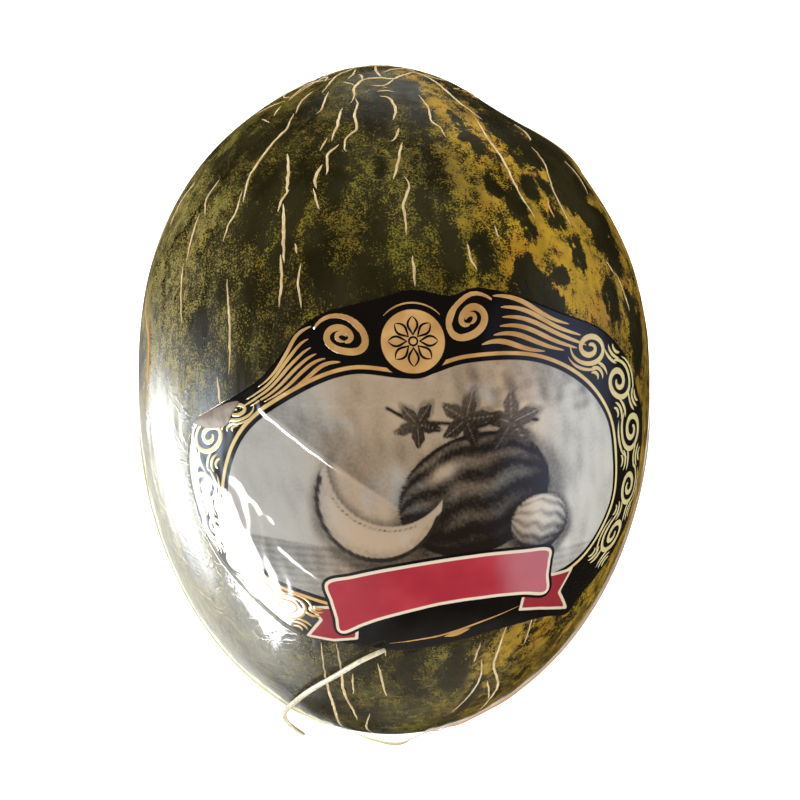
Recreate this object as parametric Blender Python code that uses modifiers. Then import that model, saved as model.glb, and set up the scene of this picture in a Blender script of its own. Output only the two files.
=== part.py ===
"""A ripe oval melon with dark, corky skin, a wrapped printed label, its clear margin and a short cord.

The melon lies on its side. +Y runs along it to the stem end, +Z is up through the middle of the label
and +X is to the right of someone who looks down on the label with the stem end at the top.
The origin is the centre of the small flat spot that the melon rests on. Units are metres.

Places on the skin are given by longitude, from the top line round towards +X, in degrees, and by
station, the height along Y from the widest ring, in millimetres.
"""
import math
import random

import bmesh
import bpy
import numpy as np

# driving sizes of the fruit
RADIUS = 0.090                 # half the width at the widest ring
STEM_HALF = 0.118              # widest ring to stem end
BLOSSOM_HALF = 0.121           # widest ring to blossom end
FLAT_DEPTH = 0.0014            # how far the resting spot is pressed in
AXIS_HEIGHT = RADIUS - FLAT_DEPTH
STEM_POWER = 2.6               # the stem half is a little more pointed than an ellipse
STEM_ROOT = 1.57
STEM_LEAN = -0.005             # the stem end leans to the left
BLOSSOM_LEAN = -0.001
RIBS = 10
RIB_HEIGHT = 0.0004
# uneven growth on the right shoulder: longitude, station, spread in degrees, length, height
SWELLINGS = (
    (90, 0.087, 43, 0.007, 0.0018),
    (85, 0.103, 49, 0.008, -0.0037),
)
DIMPLE_DEPTH = 0.0006
DIMPLE_RADIUS = 0.009
STUB_RADIUS = 0.0045
STUB_HEIGHT = 0.0003
SCAR_RADIUS = 0.0050
SCAR_HEIGHT = 0.0005

AROUND = 60                    # facets round the fruit
ALONG = 44                     # facets from end to end

# corky cracks: each is a thin raised welt with its root under the skin
CRACK_RADIUS = 0.0009
CRACK_RISE = 0.0005            # how far a welt stands out of bare skin
CRACK_RISE_COVERED = 0.0003    # and under the clear film
CRACK_STEP = 0.011             # distance between a welt's points
BACK_CRACKS = 32
NECK_CRACKS = 14
SEED = 41

# from longitude and station to longitude and station, wander in mm
SHOULDER_CRACKS = (
    (-31, 90, -27, 75, 0.8), (-28, 74, -24, 45, 0.7), (-43, 102, -40, 74, 1.0),
    (-41, 72, -43, 62, 0.5), (-53, 83, -55, 68, 0.9), (-56, 66, -50, 33, 0.8),
    (-38, 53, -35, 24, 0.4), (-21, 64, -19, 38, 0.5), (-19, 104, -18, 93, 0.8),
    (-15, 91, -18, 79, 1.0), (-15, 111, -12, 91, 1.6), (-76, 97, -72, 60, 0.8),
    (48, 108, 38, 89, 0.9), (38, 86, 38, 66, 0.9), (22, 106, 21, 92, 0.8),
    (62, 96, 49, 66, 0.9), (4, 106, 2, 94, 1.2), (6, 92, 4, 66, 1.1),
    (5, 61, 5, 51, 0.5), (18, 66, 19, 55, 0.5), (71, 80, 74, 52, 0.9),
)
LOWER_CRACKS = (
    (-18, -66, -23, -104, 0.8), (-13, -67, -14, -101, 0.7), (-4, -72, -2, -88, 0.5),
    (23, -70, 23, -99, 1.2), (28, -66, 34, -96, 1.3), (37, -66, 36, -76, 0.5),
)

# the wrapped label and the clear margin round it
LABEL_LIFT = 0.0004
LABEL_THICKNESS = 0.0006
FILM_LIFT = 0.0008
FILM_THICKNESS = 0.0004
SEAM = 0.0004                  # gap between the print's edge and the clear margin
SHEET_CELL = 0.009
OUTLINE_STEPS = 4              # points between two of an outline's own points

LABEL_OUTLINE = (
    (4, 51), (-3, 48.3), (-9, 46.2), (-14.5, 43.5), (-19.3, 38.5), (-22.5, 31.5), (-28, 22), (-37, 13),
    (-44, 6), (-47, -6), (-46, -20), (-42, -36), (-33, -50), (-22, -62), (-9, -64), (2, -66), (14, -64),
    (27, -60.5), (38, -59.5), (48, -61.8), (50.8, -56.5), (57, -50), (63, -41), (66.5, -29), (66.5, -14),
    (66.3, 1), (62.5, 13), (57.5, 25), (49, 35), (37, 42), (27, 48), (18, 51), (12, 49),
)
FILM_OUTLINE = (
    (4, 56), (-6, 53), (-14, 49), (-22, 44), (-30, 38), (-42, 32), (-56, 27), (-70, 22), (-80, 10), (-81, -30),
    (-80, -62), (-77, -90), (-70, -104), (-48, -109), (-20, -111), (8, -113), (32, -112),
    (60, -107), (76, -94), (81, -66), (84, -30), (85, 6), (83, 29), (72, 35), (58, 39), (44, 47),
    (32, 54), (18, 57),
)
# the film's loose lower corner lifts off the skin: middle and half width in longitude, from, to, lift
FLAP_LONGITUDE = -3
FLAP_HALF_WIDTH = 26
FLAP_FROM = 0.106
FLAP_TO = 0.114
FLAP_LIFT = 0.0052

# the cord, a stiff plastic strip drawn as a round tube: longitude, station and lift of its middle line
CORD_RADIUS = 0.0010
CORD_ROUTE = (
    (-2, -64, 2.6), (-8, -69, 2.6), (-15, -76, 2.6), (-24, -84, 2.7), (-33, -92, 2.8),
    (-42, -98.5, 3.0), (-49, -102.5, 3.8), (-56, -107, 5.4), (-59, -110, 6.6), (-57, -112, 7.3),
)
CORD_STEPS = 2


def profile(t):
    """Radius and station at an angle t from the stem end, 0 to pi.

    The blossom half is an ellipse. The stem half is (1 - cos(t)^2.6)^(1/1.57), which is more pointed.
    """
    c = np.cos(t)
    k = np.abs(c)
    stem = np.maximum(1 - k ** STEM_POWER, 0) ** (1 / STEM_ROOT)
    blossom = np.sqrt(np.maximum(1 - k * k, 0))
    radius = RADIUS * np.where(c > 0, stem, blossom)
    station = np.where(c > 0, STEM_HALF * c, BLOSSOM_HALF * c)
    return radius, station


def skin(longitude, t, lift=0.0):
    """Points on the skin, or lifted from it along its normal, for arrays of longitude and angle."""
    radius, station = profile(t)
    small = 0.002
    before, after = profile(np.maximum(t - small, 0)), profile(np.minimum(t + small, math.pi))
    run, fall = after[0] - before[0], before[1] - after[1]
    length = np.maximum(np.hypot(run, fall), 1e-9)
    ribs = RIB_HEIGHT * np.cos(RIBS * longitude) * np.sin(t) ** 2
    swelling = np.zeros_like(radius + longitude)
    for middle, place, spread, size, height in SWELLINGS:
        turn = np.angle(np.exp(1j * (longitude - math.radians(middle)))) / math.radians(spread)
        swelling = swelling + height * np.exp(-turn ** 2 - ((station - place) / size) ** 2)
    lean = np.where(station > 0, STEM_LEAN, BLOSSOM_LEAN) * np.cos(t) ** 2
    dimple = np.where(station > 0, DIMPLE_DEPTH * np.exp(-(radius / DIMPLE_RADIUS) ** 2), 0)
    out = radius + ribs + swelling + lift * fall / length
    return np.stack([lean + out * np.sin(longitude),
                     station - dimple + lift * run / length,
                     AXIS_HEIGHT + out * np.cos(longitude)], axis=-1)


def angle_at(station):
    """The angle from the stem end that a station in metres lies at."""
    half = np.where(np.asarray(station) > 0, STEM_HALF, BLOSSOM_HALF)
    return np.arccos(np.clip(station / half, -1, 1))


def smooth_route(points, steps, closed):
    """Points along a Catmull-Rom curve through a list of points."""
    p = np.array(points, float)
    if closed:
        p = np.vstack([p[-1:], p, p[:2]])
    else:
        p = np.vstack([2 * p[0] - p[1], p, 2 * p[-1] - p[-2]])
    u = np.linspace(0, 1, steps, endpoint=False)[:, None]
    rows = []
    for a, b, c, d in zip(p, p[1:], p[2:], p[3:]):
        rows.append(0.5 * (2 * b + (c - a) * u + (2 * a - 5 * b + 4 * c - d) * u ** 2
                           + (3 * b - a - 3 * c + d) * u ** 3))
    route = np.vstack(rows)
    return route if closed else np.vstack([route, p[-2:-1]])


def new_collection(name):
    collection = bpy.data.collections.new(name)
    bpy.context.scene.collection.children.link(collection)
    return collection


def new_object(name, mesh, collection):
    obj = bpy.data.objects.new(name, mesh)
    collection.objects.link(obj)
    return obj


def evaluated_mesh(obj):
    """A copy of an object's mesh with its modifiers and curve bevel worked out."""
    depsgraph = bpy.context.evaluated_depsgraph_get()
    depsgraph.update()
    return bpy.data.meshes.new_from_object(obj.evaluated_get(depsgraph))


def weld(mesh, distance=1e-7):
    bm = bmesh.new()
    bm.from_mesh(mesh)
    bmesh.ops.remove_doubles(bm, verts=bm.verts, dist=distance)
    bmesh.ops.recalc_face_normals(bm, faces=bm.faces)
    bm.to_mesh(mesh)
    bm.free()


def finish(obj, colour, roughness, alpha=1.0):
    """Gives an object its own Principled material and smooth shading."""
    material = bpy.data.materials.new(obj.name)
    material.use_nodes = True
    shader = material.node_tree.nodes["Principled BSDF"]
    shader.inputs["Base Color"].default_value = (*colour, 1)
    shader.inputs["Roughness"].default_value = roughness
    shader.inputs["Metallic"].default_value = 0
    shader.inputs["Alpha"].default_value = alpha
    obj.data.materials.clear()
    obj.data.materials.append(material)
    obj.data.shade_smooth()
    obj.data.set_sharp_from_angle(angle=math.radians(40))


def tube(name, points, radii, thickness, resolution, collection):
    """A closed tube along points, its thickness scaled by radii, as a mesh object."""
    curve = bpy.data.curves.new(name, "CURVE")
    curve.dimensions = "3D"
    curve.bevel_depth = thickness
    curve.bevel_resolution = resolution
    curve.use_fill_caps = True
    spline = curve.splines.new("POLY")
    spline.points.add(len(points) - 1)
    for place, point, scale in zip(spline.points, points, radii):
        place.co = (*point, 1)
        place.radius = scale
    guide = new_object(name + "_guide", curve, collection)
    mesh = evaluated_mesh(guide)
    bpy.data.objects.remove(guide)
    weld(mesh)
    return new_object(name, mesh, collection)


def welt(name, crack, rise, rng, collection):
    """One cork crack: a four-sided tube that wanders along the skin and tapers into it at both ends."""
    lon_a, station_a, lon_b, station_b, wander = crack
    ends = np.radians([lon_a, lon_b])
    angles = angle_at(np.array([station_a, station_b]) / 1000)
    tips = skin(ends, angles)
    count = max(4, 2 + round(float(np.linalg.norm(tips[1] - tips[0])) / CRACK_STEP))
    along = np.linspace(0, 1, count)
    t = angles[0] + (angles[1] - angles[0]) * along
    side = np.array([rng.uniform(-1, 1) for _ in along]) * wander / 1000
    reach = np.maximum(profile(t)[0], 0.01)
    longitude = ends[0] + (ends[1] - ends[0]) * along + side / reach
    scale = np.clip(1.6 * np.sin(math.pi * (0.12 + 0.76 * along)), 0, 1)
    points = skin(longitude, t, rise - CRACK_RADIUS * scale)
    return tube(name, points, scale, CRACK_RADIUS, 0, collection)


def seeded_cracks(rng):
    """Cracks on the sides and back, lengthwise, and short crossing ones round the stem end."""
    cracks = []
    for number in range(BACK_CRACKS):
        longitude = 88 + (number + rng.uniform(-0.3, 0.3)) * (272 - 88) / (BACK_CRACKS - 1)
        underneath = abs(longitude - 180) < 34
        low, high = (56, 76) if underneath else (-20, 70)
        start = rng.uniform(low, high)
        end = start + rng.uniform(18, 34)
        if rng.random() < 0.4:
            start, end = -rng.uniform(64, 74), -rng.uniform(92, 104)
        cracks.append((longitude, min(start, 106), longitude + rng.uniform(-4, 4), min(end, 108), 1.0))
    for number in range(NECK_CRACKS):
        longitude = 360 * (number + rng.uniform(-0.2, 0.2)) / NECK_CRACKS
        station = rng.uniform(107, 113.5)
        cracks.append((longitude, station, longitude + rng.uniform(18, 30), station + rng.uniform(-2, 2), 1.2))
    return cracks


def round_plug(name, radius, low, high, middle, collection):
    """A short round plug along Y, from one station to another."""
    bm = bmesh.new()
    bmesh.ops.create_cone(bm, cap_ends=True, segments=16, radius1=radius, radius2=radius * 0.86,
                          depth=abs(high - low))
    mesh = bpy.data.meshes.new(name)
    bm.to_mesh(mesh)
    bm.free()
    points = np.empty(len(mesh.vertices) * 3)
    mesh.vertices.foreach_get("co", points)
    points = points.reshape(-1, 3)
    outward = 1 if high > low else -1
    turned = np.stack([points[:, 0] + middle, (low + high) / 2 + outward * points[:, 2],
                       AXIS_HEIGHT - outward * points[:, 1]], axis=-1)
    mesh.vertices.foreach_set("co", turned.ravel())
    weld(mesh)
    return new_object(name, mesh, collection)


def make_melon(collection):
    """The fruit: a sphere drawn out to the profile, with a flat resting spot and its welts fused on."""
    bm = bmesh.new()
    bmesh.ops.create_uvsphere(bm, u_segments=AROUND, v_segments=ALONG, radius=1)
    places = np.array([vertex.co for vertex in bm.verts])
    t = np.arccos(np.clip(places[:, 2], -1, 1))
    longitude = np.arctan2(places[:, 1], places[:, 0]) + math.pi / AROUND
    for vertex, point in zip(bm.verts, skin(longitude, t)):
        vertex.co = point
    everything = bm.verts[:] + bm.edges[:] + bm.faces[:]
    cut = bmesh.ops.bisect_plane(bm, geom=everything, dist=1e-6, plane_co=(0, 0, 0),
                                 plane_no=(0, 0, -1), clear_outer=True)
    rim = [item for item in cut["geom_cut"] if isinstance(item, bmesh.types.BMEdge)]
    bmesh.ops.contextual_create(bm, geom=rim)
    bmesh.ops.recalc_face_normals(bm, faces=bm.faces)
    mesh = bpy.data.meshes.new("melon")
    bm.to_mesh(mesh)
    bm.free()
    melon = new_object("melon", mesh, collection)

    growths = new_collection("growths")
    rng = random.Random(SEED)
    for number, crack in enumerate(SHOULDER_CRACKS):
        welt(f"shoulder_welt_{number}", crack, CRACK_RISE, rng, growths)
    for number, crack in enumerate(LOWER_CRACKS):
        welt(f"lower_welt_{number}", crack, CRACK_RISE_COVERED, rng, growths)
    for number, crack in enumerate(seeded_cracks(rng)):
        welt(f"back_welt_{number}", crack, CRACK_RISE, rng, growths)
    floor_of_dimple = STEM_HALF - DIMPLE_DEPTH
    round_plug("stem_stub", STUB_RADIUS, floor_of_dimple - 0.004, floor_of_dimple + STUB_HEIGHT,
               STEM_LEAN, growths)
    round_plug("blossom_scar", SCAR_RADIUS, -BLOSSOM_HALF + 0.004, -BLOSSOM_HALF - SCAR_HEIGHT,
               BLOSSOM_LEAN, growths)

    fuse = melon.modifiers.new("growths", "BOOLEAN")
    fuse.operation = "UNION"
    fuse.operand_type = "COLLECTION"
    fuse.collection = growths
    fuse.solver = "EXACT"
    fused = evaluated_mesh(melon)
    melon.modifiers.clear()
    melon.data = fused
    for growth in list(growths.objects):
        bpy.data.objects.remove(growth)
    bpy.data.collections.remove(growths)
    finish(melon, (0.075, 0.070, 0.018), 0.30)


def flat_outline(places, grow):
    """A closed outline on the unrolled skin, in metres, grown outward by a distance."""
    points = np.array([(math.radians(lon) * RADIUS, 0.0) for lon, _ in places])
    points[:, 1] = (math.pi / 2 - angle_at(np.array([y for _, y in places]) / 1000)) * STEM_HALF
    route = smooth_route(points, OUTLINE_STEPS, closed=True)
    ahead = np.roll(route, -1, axis=0) - np.roll(route, 1, axis=0)
    outward = np.stack([-ahead[:, 1], ahead[:, 0]], axis=-1)
    outward /= np.linalg.norm(outward, axis=1, keepdims=True)
    area = 0.5 * np.sum(route[:, 0] * np.roll(route[:, 1], -1) - route[:, 1] * np.roll(route[:, 0], -1))
    return route - math.copysign(1, area) * outward * grow


def outline_cutter(name, outline, collection):
    """A flat 2D outline, extruded far past the sheet on both sides."""
    curve = bpy.data.curves.new(name, "CURVE")
    curve.dimensions = "2D"
    curve.fill_mode = "BOTH"
    curve.extrude = 0.01
    spline = curve.splines.new("POLY")
    spline.points.add(len(outline) - 1)
    spline.use_cyclic_u = True
    for place, point in zip(spline.points, outline):
        place.co = (point[0], point[1], 0, 1)
    guide = new_object(name + "_guide", curve, collection)
    mesh = evaluated_mesh(guide)
    bpy.data.objects.remove(guide)
    weld(mesh)
    cutter = new_object(name, mesh, collection)
    cutter.hide_render = True
    cutter.display_type = "WIRE"
    return cutter


def flap_rise(longitude, station):
    """How far the film's loose corner stands off the skin."""
    down = np.clip((-station - FLAP_FROM) / (FLAP_TO - FLAP_FROM), 0, 1)
    across = np.clip(1 - ((np.degrees(longitude) - FLAP_LONGITUDE) / FLAP_HALF_WIDTH) ** 2, 0, 1) ** 2
    return FLAP_LIFT * down * down * across


def make_sheet(name, outline, lift, thickness, collection, opening=None, loose=False):
    """A sheet cut flat to its outline and then wrapped on the skin at a constant lift."""
    low, high = outline.min(axis=0) - SHEET_CELL, outline.max(axis=0) + SHEET_CELL
    cells = np.ceil((high - low) / SHEET_CELL).astype(int)
    bm = bmesh.new()
    bmesh.ops.create_grid(bm, x_segments=int(cells[0]), y_segments=int(cells[1]), size=0.5)
    for vertex in bm.verts:
        vertex.co.x = low[0] + (vertex.co.x + 0.5) * (high[0] - low[0])
        vertex.co.y = low[1] + (vertex.co.y + 0.5) * (high[1] - low[1])
    mesh = bpy.data.meshes.new(name)
    bm.to_mesh(mesh)
    bm.free()
    sheet = new_object(name, mesh, collection)
    wall = sheet.modifiers.new("thickness", "SOLIDIFY")
    wall.thickness = thickness
    wall.offset = 1
    cutters = new_collection(name + "_cutters")
    trims = [("trim", "INTERSECT", outline)]
    if opening is not None:
        trims.append(("window", "DIFFERENCE", opening))
    for label, operation, shape in trims:
        trim = sheet.modifiers.new(label, "BOOLEAN")
        trim.operation = operation
        trim.object = outline_cutter(f"{name}_{label}", shape, cutters)
        trim.solver = "EXACT"
    cut = evaluated_mesh(sheet)
    sheet.modifiers.clear()
    sheet.data = cut
    for cutter in list(cutters.objects):
        bpy.data.objects.remove(cutter)
    bpy.data.collections.remove(cutters)

    bm = bmesh.new()
    bm.from_mesh(cut)
    bmesh.ops.remove_doubles(bm, verts=bm.verts, dist=1e-6)
    bmesh.ops.triangulate(bm, faces=bm.faces)
    bm.to_mesh(cut)
    bm.free()
    points = np.empty(len(cut.vertices) * 3)
    cut.vertices.foreach_get("co", points)
    points = points.reshape(-1, 3)
    longitude = points[:, 0] / RADIUS
    t = math.pi / 2 - points[:, 1] / STEM_HALF
    rise = lift + points[:, 2]
    if loose:
        rise = rise + flap_rise(longitude, profile(t)[1])
    cut.vertices.foreach_set("co", skin(longitude, t, rise).ravel())
    weld(cut)
    return sheet


def cord_points():
    """The cord's middle line, lifted off the skin along its route."""
    rows = [skin(np.radians(lon), angle_at(station / 1000), lift / 1000) for lon, station, lift in CORD_ROUTE]
    return smooth_route(rows, CORD_STEPS, closed=False)


def main():
    for obj in list(bpy.data.objects):
        bpy.data.objects.remove(obj)
    parts = new_collection("labelled_melon")
    make_melon(parts)
    print_edge = flat_outline(LABEL_OUTLINE, 0)
    label = make_sheet("printed_label", print_edge, LABEL_LIFT, LABEL_THICKNESS, parts)
    finish(label, (0.30, 0.26, 0.20), 0.25)
    film = make_sheet("clear_film", flat_outline(FILM_OUTLINE, 0), FILM_LIFT, FILM_THICKNESS, parts,
                      opening=flat_outline(LABEL_OUTLINE, SEAM), loose=True)
    finish(film, (0.90, 0.92, 0.90), 0.12, alpha=0.2)
    route = cord_points()
    cord = tube("carry_cord", route, [1.0] * len(route), CORD_RADIUS, 2, parts)
    finish(cord, (0.68, 0.60, 0.42), 0.35)


main()
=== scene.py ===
"""The looks of a ripe oval melon: mottled rind, corky cracks, a wrapped printed label and its clear margin.

The melon lies on its side. +Y runs along it to the stem end, +Z is up through the middle of the label and
+X is to the right of someone who looks down on the label with the stem end at the top. Units are metres.
Places on the skin are a longitude in degrees, from the top line round towards +X, and a station in
millimetres along Y from the widest ring. Places on the unrolled sheet are millimetres across and along.
"""
import math
import random

import bpy
import numpy as np
from mathutils import Matrix, Vector


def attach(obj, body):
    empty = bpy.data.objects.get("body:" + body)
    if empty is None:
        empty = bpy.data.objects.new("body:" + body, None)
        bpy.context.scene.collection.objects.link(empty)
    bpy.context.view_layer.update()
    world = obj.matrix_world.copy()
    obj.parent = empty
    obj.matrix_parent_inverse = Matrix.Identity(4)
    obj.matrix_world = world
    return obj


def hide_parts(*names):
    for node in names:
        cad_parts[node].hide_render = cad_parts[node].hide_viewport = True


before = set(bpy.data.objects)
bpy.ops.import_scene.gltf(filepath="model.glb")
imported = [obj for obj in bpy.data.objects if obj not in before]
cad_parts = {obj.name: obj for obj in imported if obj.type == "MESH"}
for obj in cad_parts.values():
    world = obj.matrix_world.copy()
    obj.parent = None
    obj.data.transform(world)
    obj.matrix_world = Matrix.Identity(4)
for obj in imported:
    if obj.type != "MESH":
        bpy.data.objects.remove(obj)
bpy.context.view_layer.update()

# driving sizes of the fruit, as in the solid
RADIUS = 0.090
STEM_HALF = 0.118
BLOSSOM_HALF = 0.121
FLAT_DEPTH = 0.0014
AXIS_HEIGHT = RADIUS - FLAT_DEPTH
FRUIT_MIDDLE = (0, 0, AXIS_HEIGHT)
STEM_POWER = 2.6
STEM_ROOT = 1.57
STEM_LEAN = -0.005
BLOSSOM_LEAN = -0.001
RIBS = 10
RIB_HEIGHT = 0.0004

# low swellings: longitude, station, spread in degrees, spread along the fruit, height
SWELLINGS = (
    (90, 0.087, 43, 0.007, 0.0018),
    (85, 0.103, 49, 0.008, -0.0037),
)
DIMPLE_DEPTH = 0.0006
DIMPLE_RADIUS = 0.009
SEED = 41

# how fine the meshes are
RIND_AROUND = 420
RIND_ALONG = 228
SHEET_AROUND = 640
SHEET_RINGS = 108
MARGIN_AROUND = 560
MARGIN_RINGS = 44

# the sheet: lifts from the rind and thicknesses in metres, and in mm the gap between print and margin
PRINT_LIFT = 0.0004
PRINT_THICKNESS = 0.0003
MARGIN_LIFT = 0.00045
MARGIN_THICKNESS = 0.00010
MARGIN_GAP = 0.06
MARGIN_RIPPLE = 0.00018
INK_HEIGHT = 0.00004
SHEET_CENTRE = (15.0, -8.0)

# outlines of the print, the whole sheet, the panel, the banner and its tails: longitudes and stations
LABEL_OUTLINE = (
    (4, 51), (-3, 48.3), (-9, 46.2), (-14.5, 43.5), (-19.3, 38.5), (-22.5, 31.5), (-28, 22), (-37, 13),
    (-44, 6), (-47, -6), (-46, -20), (-42, -36), (-33, -50), (-22, -62), (-9, -64), (2, -66), (14, -64),
    (27, -60.5), (38, -59.5), (48, -61.8), (50.8, -56.5), (57, -50), (63, -41), (66.5, -29), (66.5, -14),
    (66.3, 1), (62.5, 13), (57.5, 25), (49, 35), (37, 42), (27, 48), (18, 51), (12, 49),
)
FILM_OUTLINE = (
    (4, 56), (-6, 53), (-14, 49), (-22, 44), (-30, 38), (-42, 32), (-56, 27), (-70, 22), (-80, 10),
    (-81, -30), (-80, -62), (-77, -90), (-70, -104), (-48, -109), (-20, -111), (8, -113), (32, -112),
    (60, -107), (76, -94), (81, -66), (84, -30), (85, 6), (83, 29), (72, 35), (58, 39), (44, 47),
    (32, 54), (18, 57),
)
PANEL_OUTLINE = (
    (-35, -11), (-30, 6), (-19, 19), (-8, 26), (4, 25), (15, 29), (29, 28), (41, 19), (49, 6),
    (52, -8), (53, -22), (48, -35), (39, -42), (18, -46), (-8, -48), (-20, -45), (-28, -40), (-34, -27),
)
BANNER_OUTLINE = (
    (-14, -42), (-9, -39.5), (-3, -37), (7, -34.3), (18, -33), (28, -33.2), (34, -34), (34.6, -38),
    (35, -43), (36, -49), (30, -47.6), (22, -47), (10, -48), (-1, -52), (-7, -55.5), (-12, -59),
    (-12.6, -54), (-13.4, -48),
)
LEFT_TAIL = ((-12, -50), (-19, -51), (-16.8, -55.4), (-21, -62.4), (-14.3, -63.2), (-8.5, -61.6), (-8, -56))
RIGHT_TAIL = ((33, -43), (43.2, -43), (41, -50.9), (46.5, -59), (36, -55.5), (30, -54.3), (30, -46))

# the medallion: its middle, and in mm the radius of its gold disc, of the black round it and of the arc
MEDALLION = (4.0, 36.0)
MEDALLION_DISC = 9.9
MEDALLION_RIM = 11.6
MEDALLION_ARC = 12.0

# the film's loose lower corner: middle, half width, stations where it starts and stops rising, rise
FLAP_LONGITUDE = -3
FLAP_HALF_WIDTH = 26
FLAP_FROM = 0.106
FLAP_TO = 0.114
FLAP_LIFT = 0.0052

# the cord: its route is longitudes and stations, with the lift from the skin in mm
CORD_DIAMETER = 0.002
CORD_ROUTE = (
    (-2, -64, 2.6), (-8, -69, 2.6), (-15, -76, 2.6), (-24, -84, 2.7), (-33, -92, 2.8),
    (-42, -98.5, 3.0), (-49, -102.5, 3.8), (-56, -107, 5.4), (-59, -110, 6.6), (-57, -112, 7.3),
)
CORD_STEPS = 4
STRIP_SIDES = 20
STRIP_FLATNESS = 0.72

# the camera looks down on the label from the stem end's side of straight above
CAMERA_DISTANCE = 0.60
CAMERA_TILT = math.radians(11.5)
CAMERA_LENS = 75.6
CAMERA_SENSOR = 36
CAMERA_SHIFT = (0.0072, 0.0005)
CAMERA_RANGE = (0.05, 20)


def profile(t):
    """Radius and station at an angle t from the stem end, 0 to pi.

    The blossom half is an ellipse. The stem half is (1 - cos(t)^2.6)^(1/1.57), which is more pointed.
    """
    c = np.cos(t)
    k = np.abs(c)
    stem = np.maximum(1 - k ** STEM_POWER, 0) ** (1 / STEM_ROOT)
    blossom = np.sqrt(np.maximum(1 - k * k, 0))
    radius = RADIUS * np.where(c > 0, stem, blossom)
    station = np.where(c > 0, STEM_HALF * c, BLOSSOM_HALF * c)
    return radius, station


def skin(longitude, t, lift=0.0):
    """Points on the skin, or lifted from it along its normal: the profile turned about the Y axis.

    Ribs are a cosine round the fruit, swellings are bell curves, and both ends lean by cos(t)^2.
    """
    longitude, t = np.broadcast_arrays(longitude, t)
    radius, station = profile(t)
    small = 0.002
    before, after = profile(np.maximum(t - small, 0)), profile(np.minimum(t + small, math.pi))
    run, fall = after[0] - before[0], before[1] - after[1]
    length = np.maximum(np.hypot(run, fall), 1e-9)
    ribs = RIB_HEIGHT * np.cos(RIBS * longitude) * np.sin(t) ** 2
    swelling = np.zeros_like(radius + longitude)
    for middle, place, spread, size, height in SWELLINGS:
        turn = np.angle(np.exp(1j * (longitude - math.radians(middle)))) / math.radians(spread)
        swelling = swelling + height * np.exp(-turn ** 2 - ((station - place) / size) ** 2)
    lean = np.where(station > 0, STEM_LEAN, BLOSSOM_LEAN) * np.cos(t) ** 2
    dimple = np.where(station > 0, DIMPLE_DEPTH * np.exp(-(radius / DIMPLE_RADIUS) ** 2), 0)
    out = radius + ribs + swelling + lift * fall / length
    return np.stack([lean + out * np.sin(longitude),
                     station - dimple + lift * run / length,
                     AXIS_HEIGHT + out * np.cos(longitude)], axis=-1)


def angle_at(station):
    """The angle from the stem end that a station in metres lies at."""
    half = np.where(np.asarray(station) > 0, STEM_HALF, BLOSSOM_HALF)
    return np.arccos(np.clip(station / half, -1, 1))


def smooth_route(points, steps, closed=False):
    """Points along a Catmull-Rom curve through a list of points."""
    p = np.array(points, float)
    if closed:
        p = np.vstack([p[-1:], p, p[:2]])
    else:
        p = np.vstack([2 * p[0] - p[1], p, 2 * p[-1] - p[-2]])
    u = np.linspace(0, 1, steps, endpoint=False)[:, None]
    rows = []
    for a, b, c, d in zip(p, p[1:], p[2:], p[3:]):
        rows.append(0.5 * (2 * b + (c - a) * u + (2 * a - 5 * b + 4 * c - d) * u ** 2
                           + (3 * b - a - 3 * c + d) * u ** 3))
    route = np.vstack(rows)
    return route if closed else np.vstack([route, p[-2:-1]])


def even_route(points, step):
    """The smooth curve through some places on the skin, cut into steps of one length."""
    route = smooth_route(points, 12)
    spots = on_sheet(route[:, 0], route[:, 1], 0.0) * 1000
    walked = np.concatenate([[0], np.cumsum(np.linalg.norm(np.diff(spots, axis=0), axis=1))])
    count = max(4, int(math.ceil(walked[-1] / step)) + 1)
    stops = np.linspace(0, walked[-1], count)
    return np.stack([np.interp(stops, walked, route[:, k]) for k in range(route.shape[1])], axis=-1)


def unrolled(places):
    """Longitudes and stations as millimetres across and along the unrolled sheet."""
    p = np.atleast_2d(np.array(places, float))
    along = (math.pi / 2 - angle_at(p[:, 1] / 1000)) * STEM_HALF * 1000
    return np.stack([np.radians(p[:, 0]) * RADIUS * 1000, along], axis=-1)


def on_sheet(across, along, lift):
    """Points over the rind at millimetres across and along the unrolled sheet."""
    return skin(across / (RADIUS * 1000), math.pi / 2 - along / (STEM_HALF * 1000), lift)


def step(value, low, high):
    """Nought below low, one above high, and a smooth s-curve between."""
    u = np.clip((value - low) / (high - low), 0, 1)
    return u * u * (3 - 2 * u)


def bell(distance, width):
    """A bell curve, one at nought distance."""
    return np.exp(-(distance / width) ** 2)


def waves(fields, count, coarse, fine, seed):
    """Uneven ups and downs, mostly from -1 to 1: a sum of sine waves of seeded directions and lengths.

    Each wave is sin(k . place + phase), with |k| between two pi over coarse and two pi over fine. The
    sum is divided by 1.5 times the root of their count.
    """
    rng = random.Random(seed)
    total = 0
    for _ in range(count):
        wavelength = math.exp(rng.uniform(math.log(fine), math.log(coarse)))
        direction = np.array([rng.gauss(0, 1) for _ in fields])
        direction *= 2 * math.pi / wavelength / np.linalg.norm(direction)
        phase = rng.uniform(0, 2 * math.pi)
        total = total + np.sin(sum(k * field for k, field in zip(direction, fields)) + phase)
    return total / math.sqrt(count) / 1.5


def straight_distance(start, end, across, along):
    """The distance to one straight piece of line, from its start to its end."""
    (ax, ay), (bx, by) = start, end
    dx, dy = bx - ax, by - ay
    share = np.clip(((across - ax) * dx + (along - ay) * dy) / max(dx * dx + dy * dy, 1e-12), 0, 1)
    return np.hypot(across - ax - share * dx, along - ay - share * dy)


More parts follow.
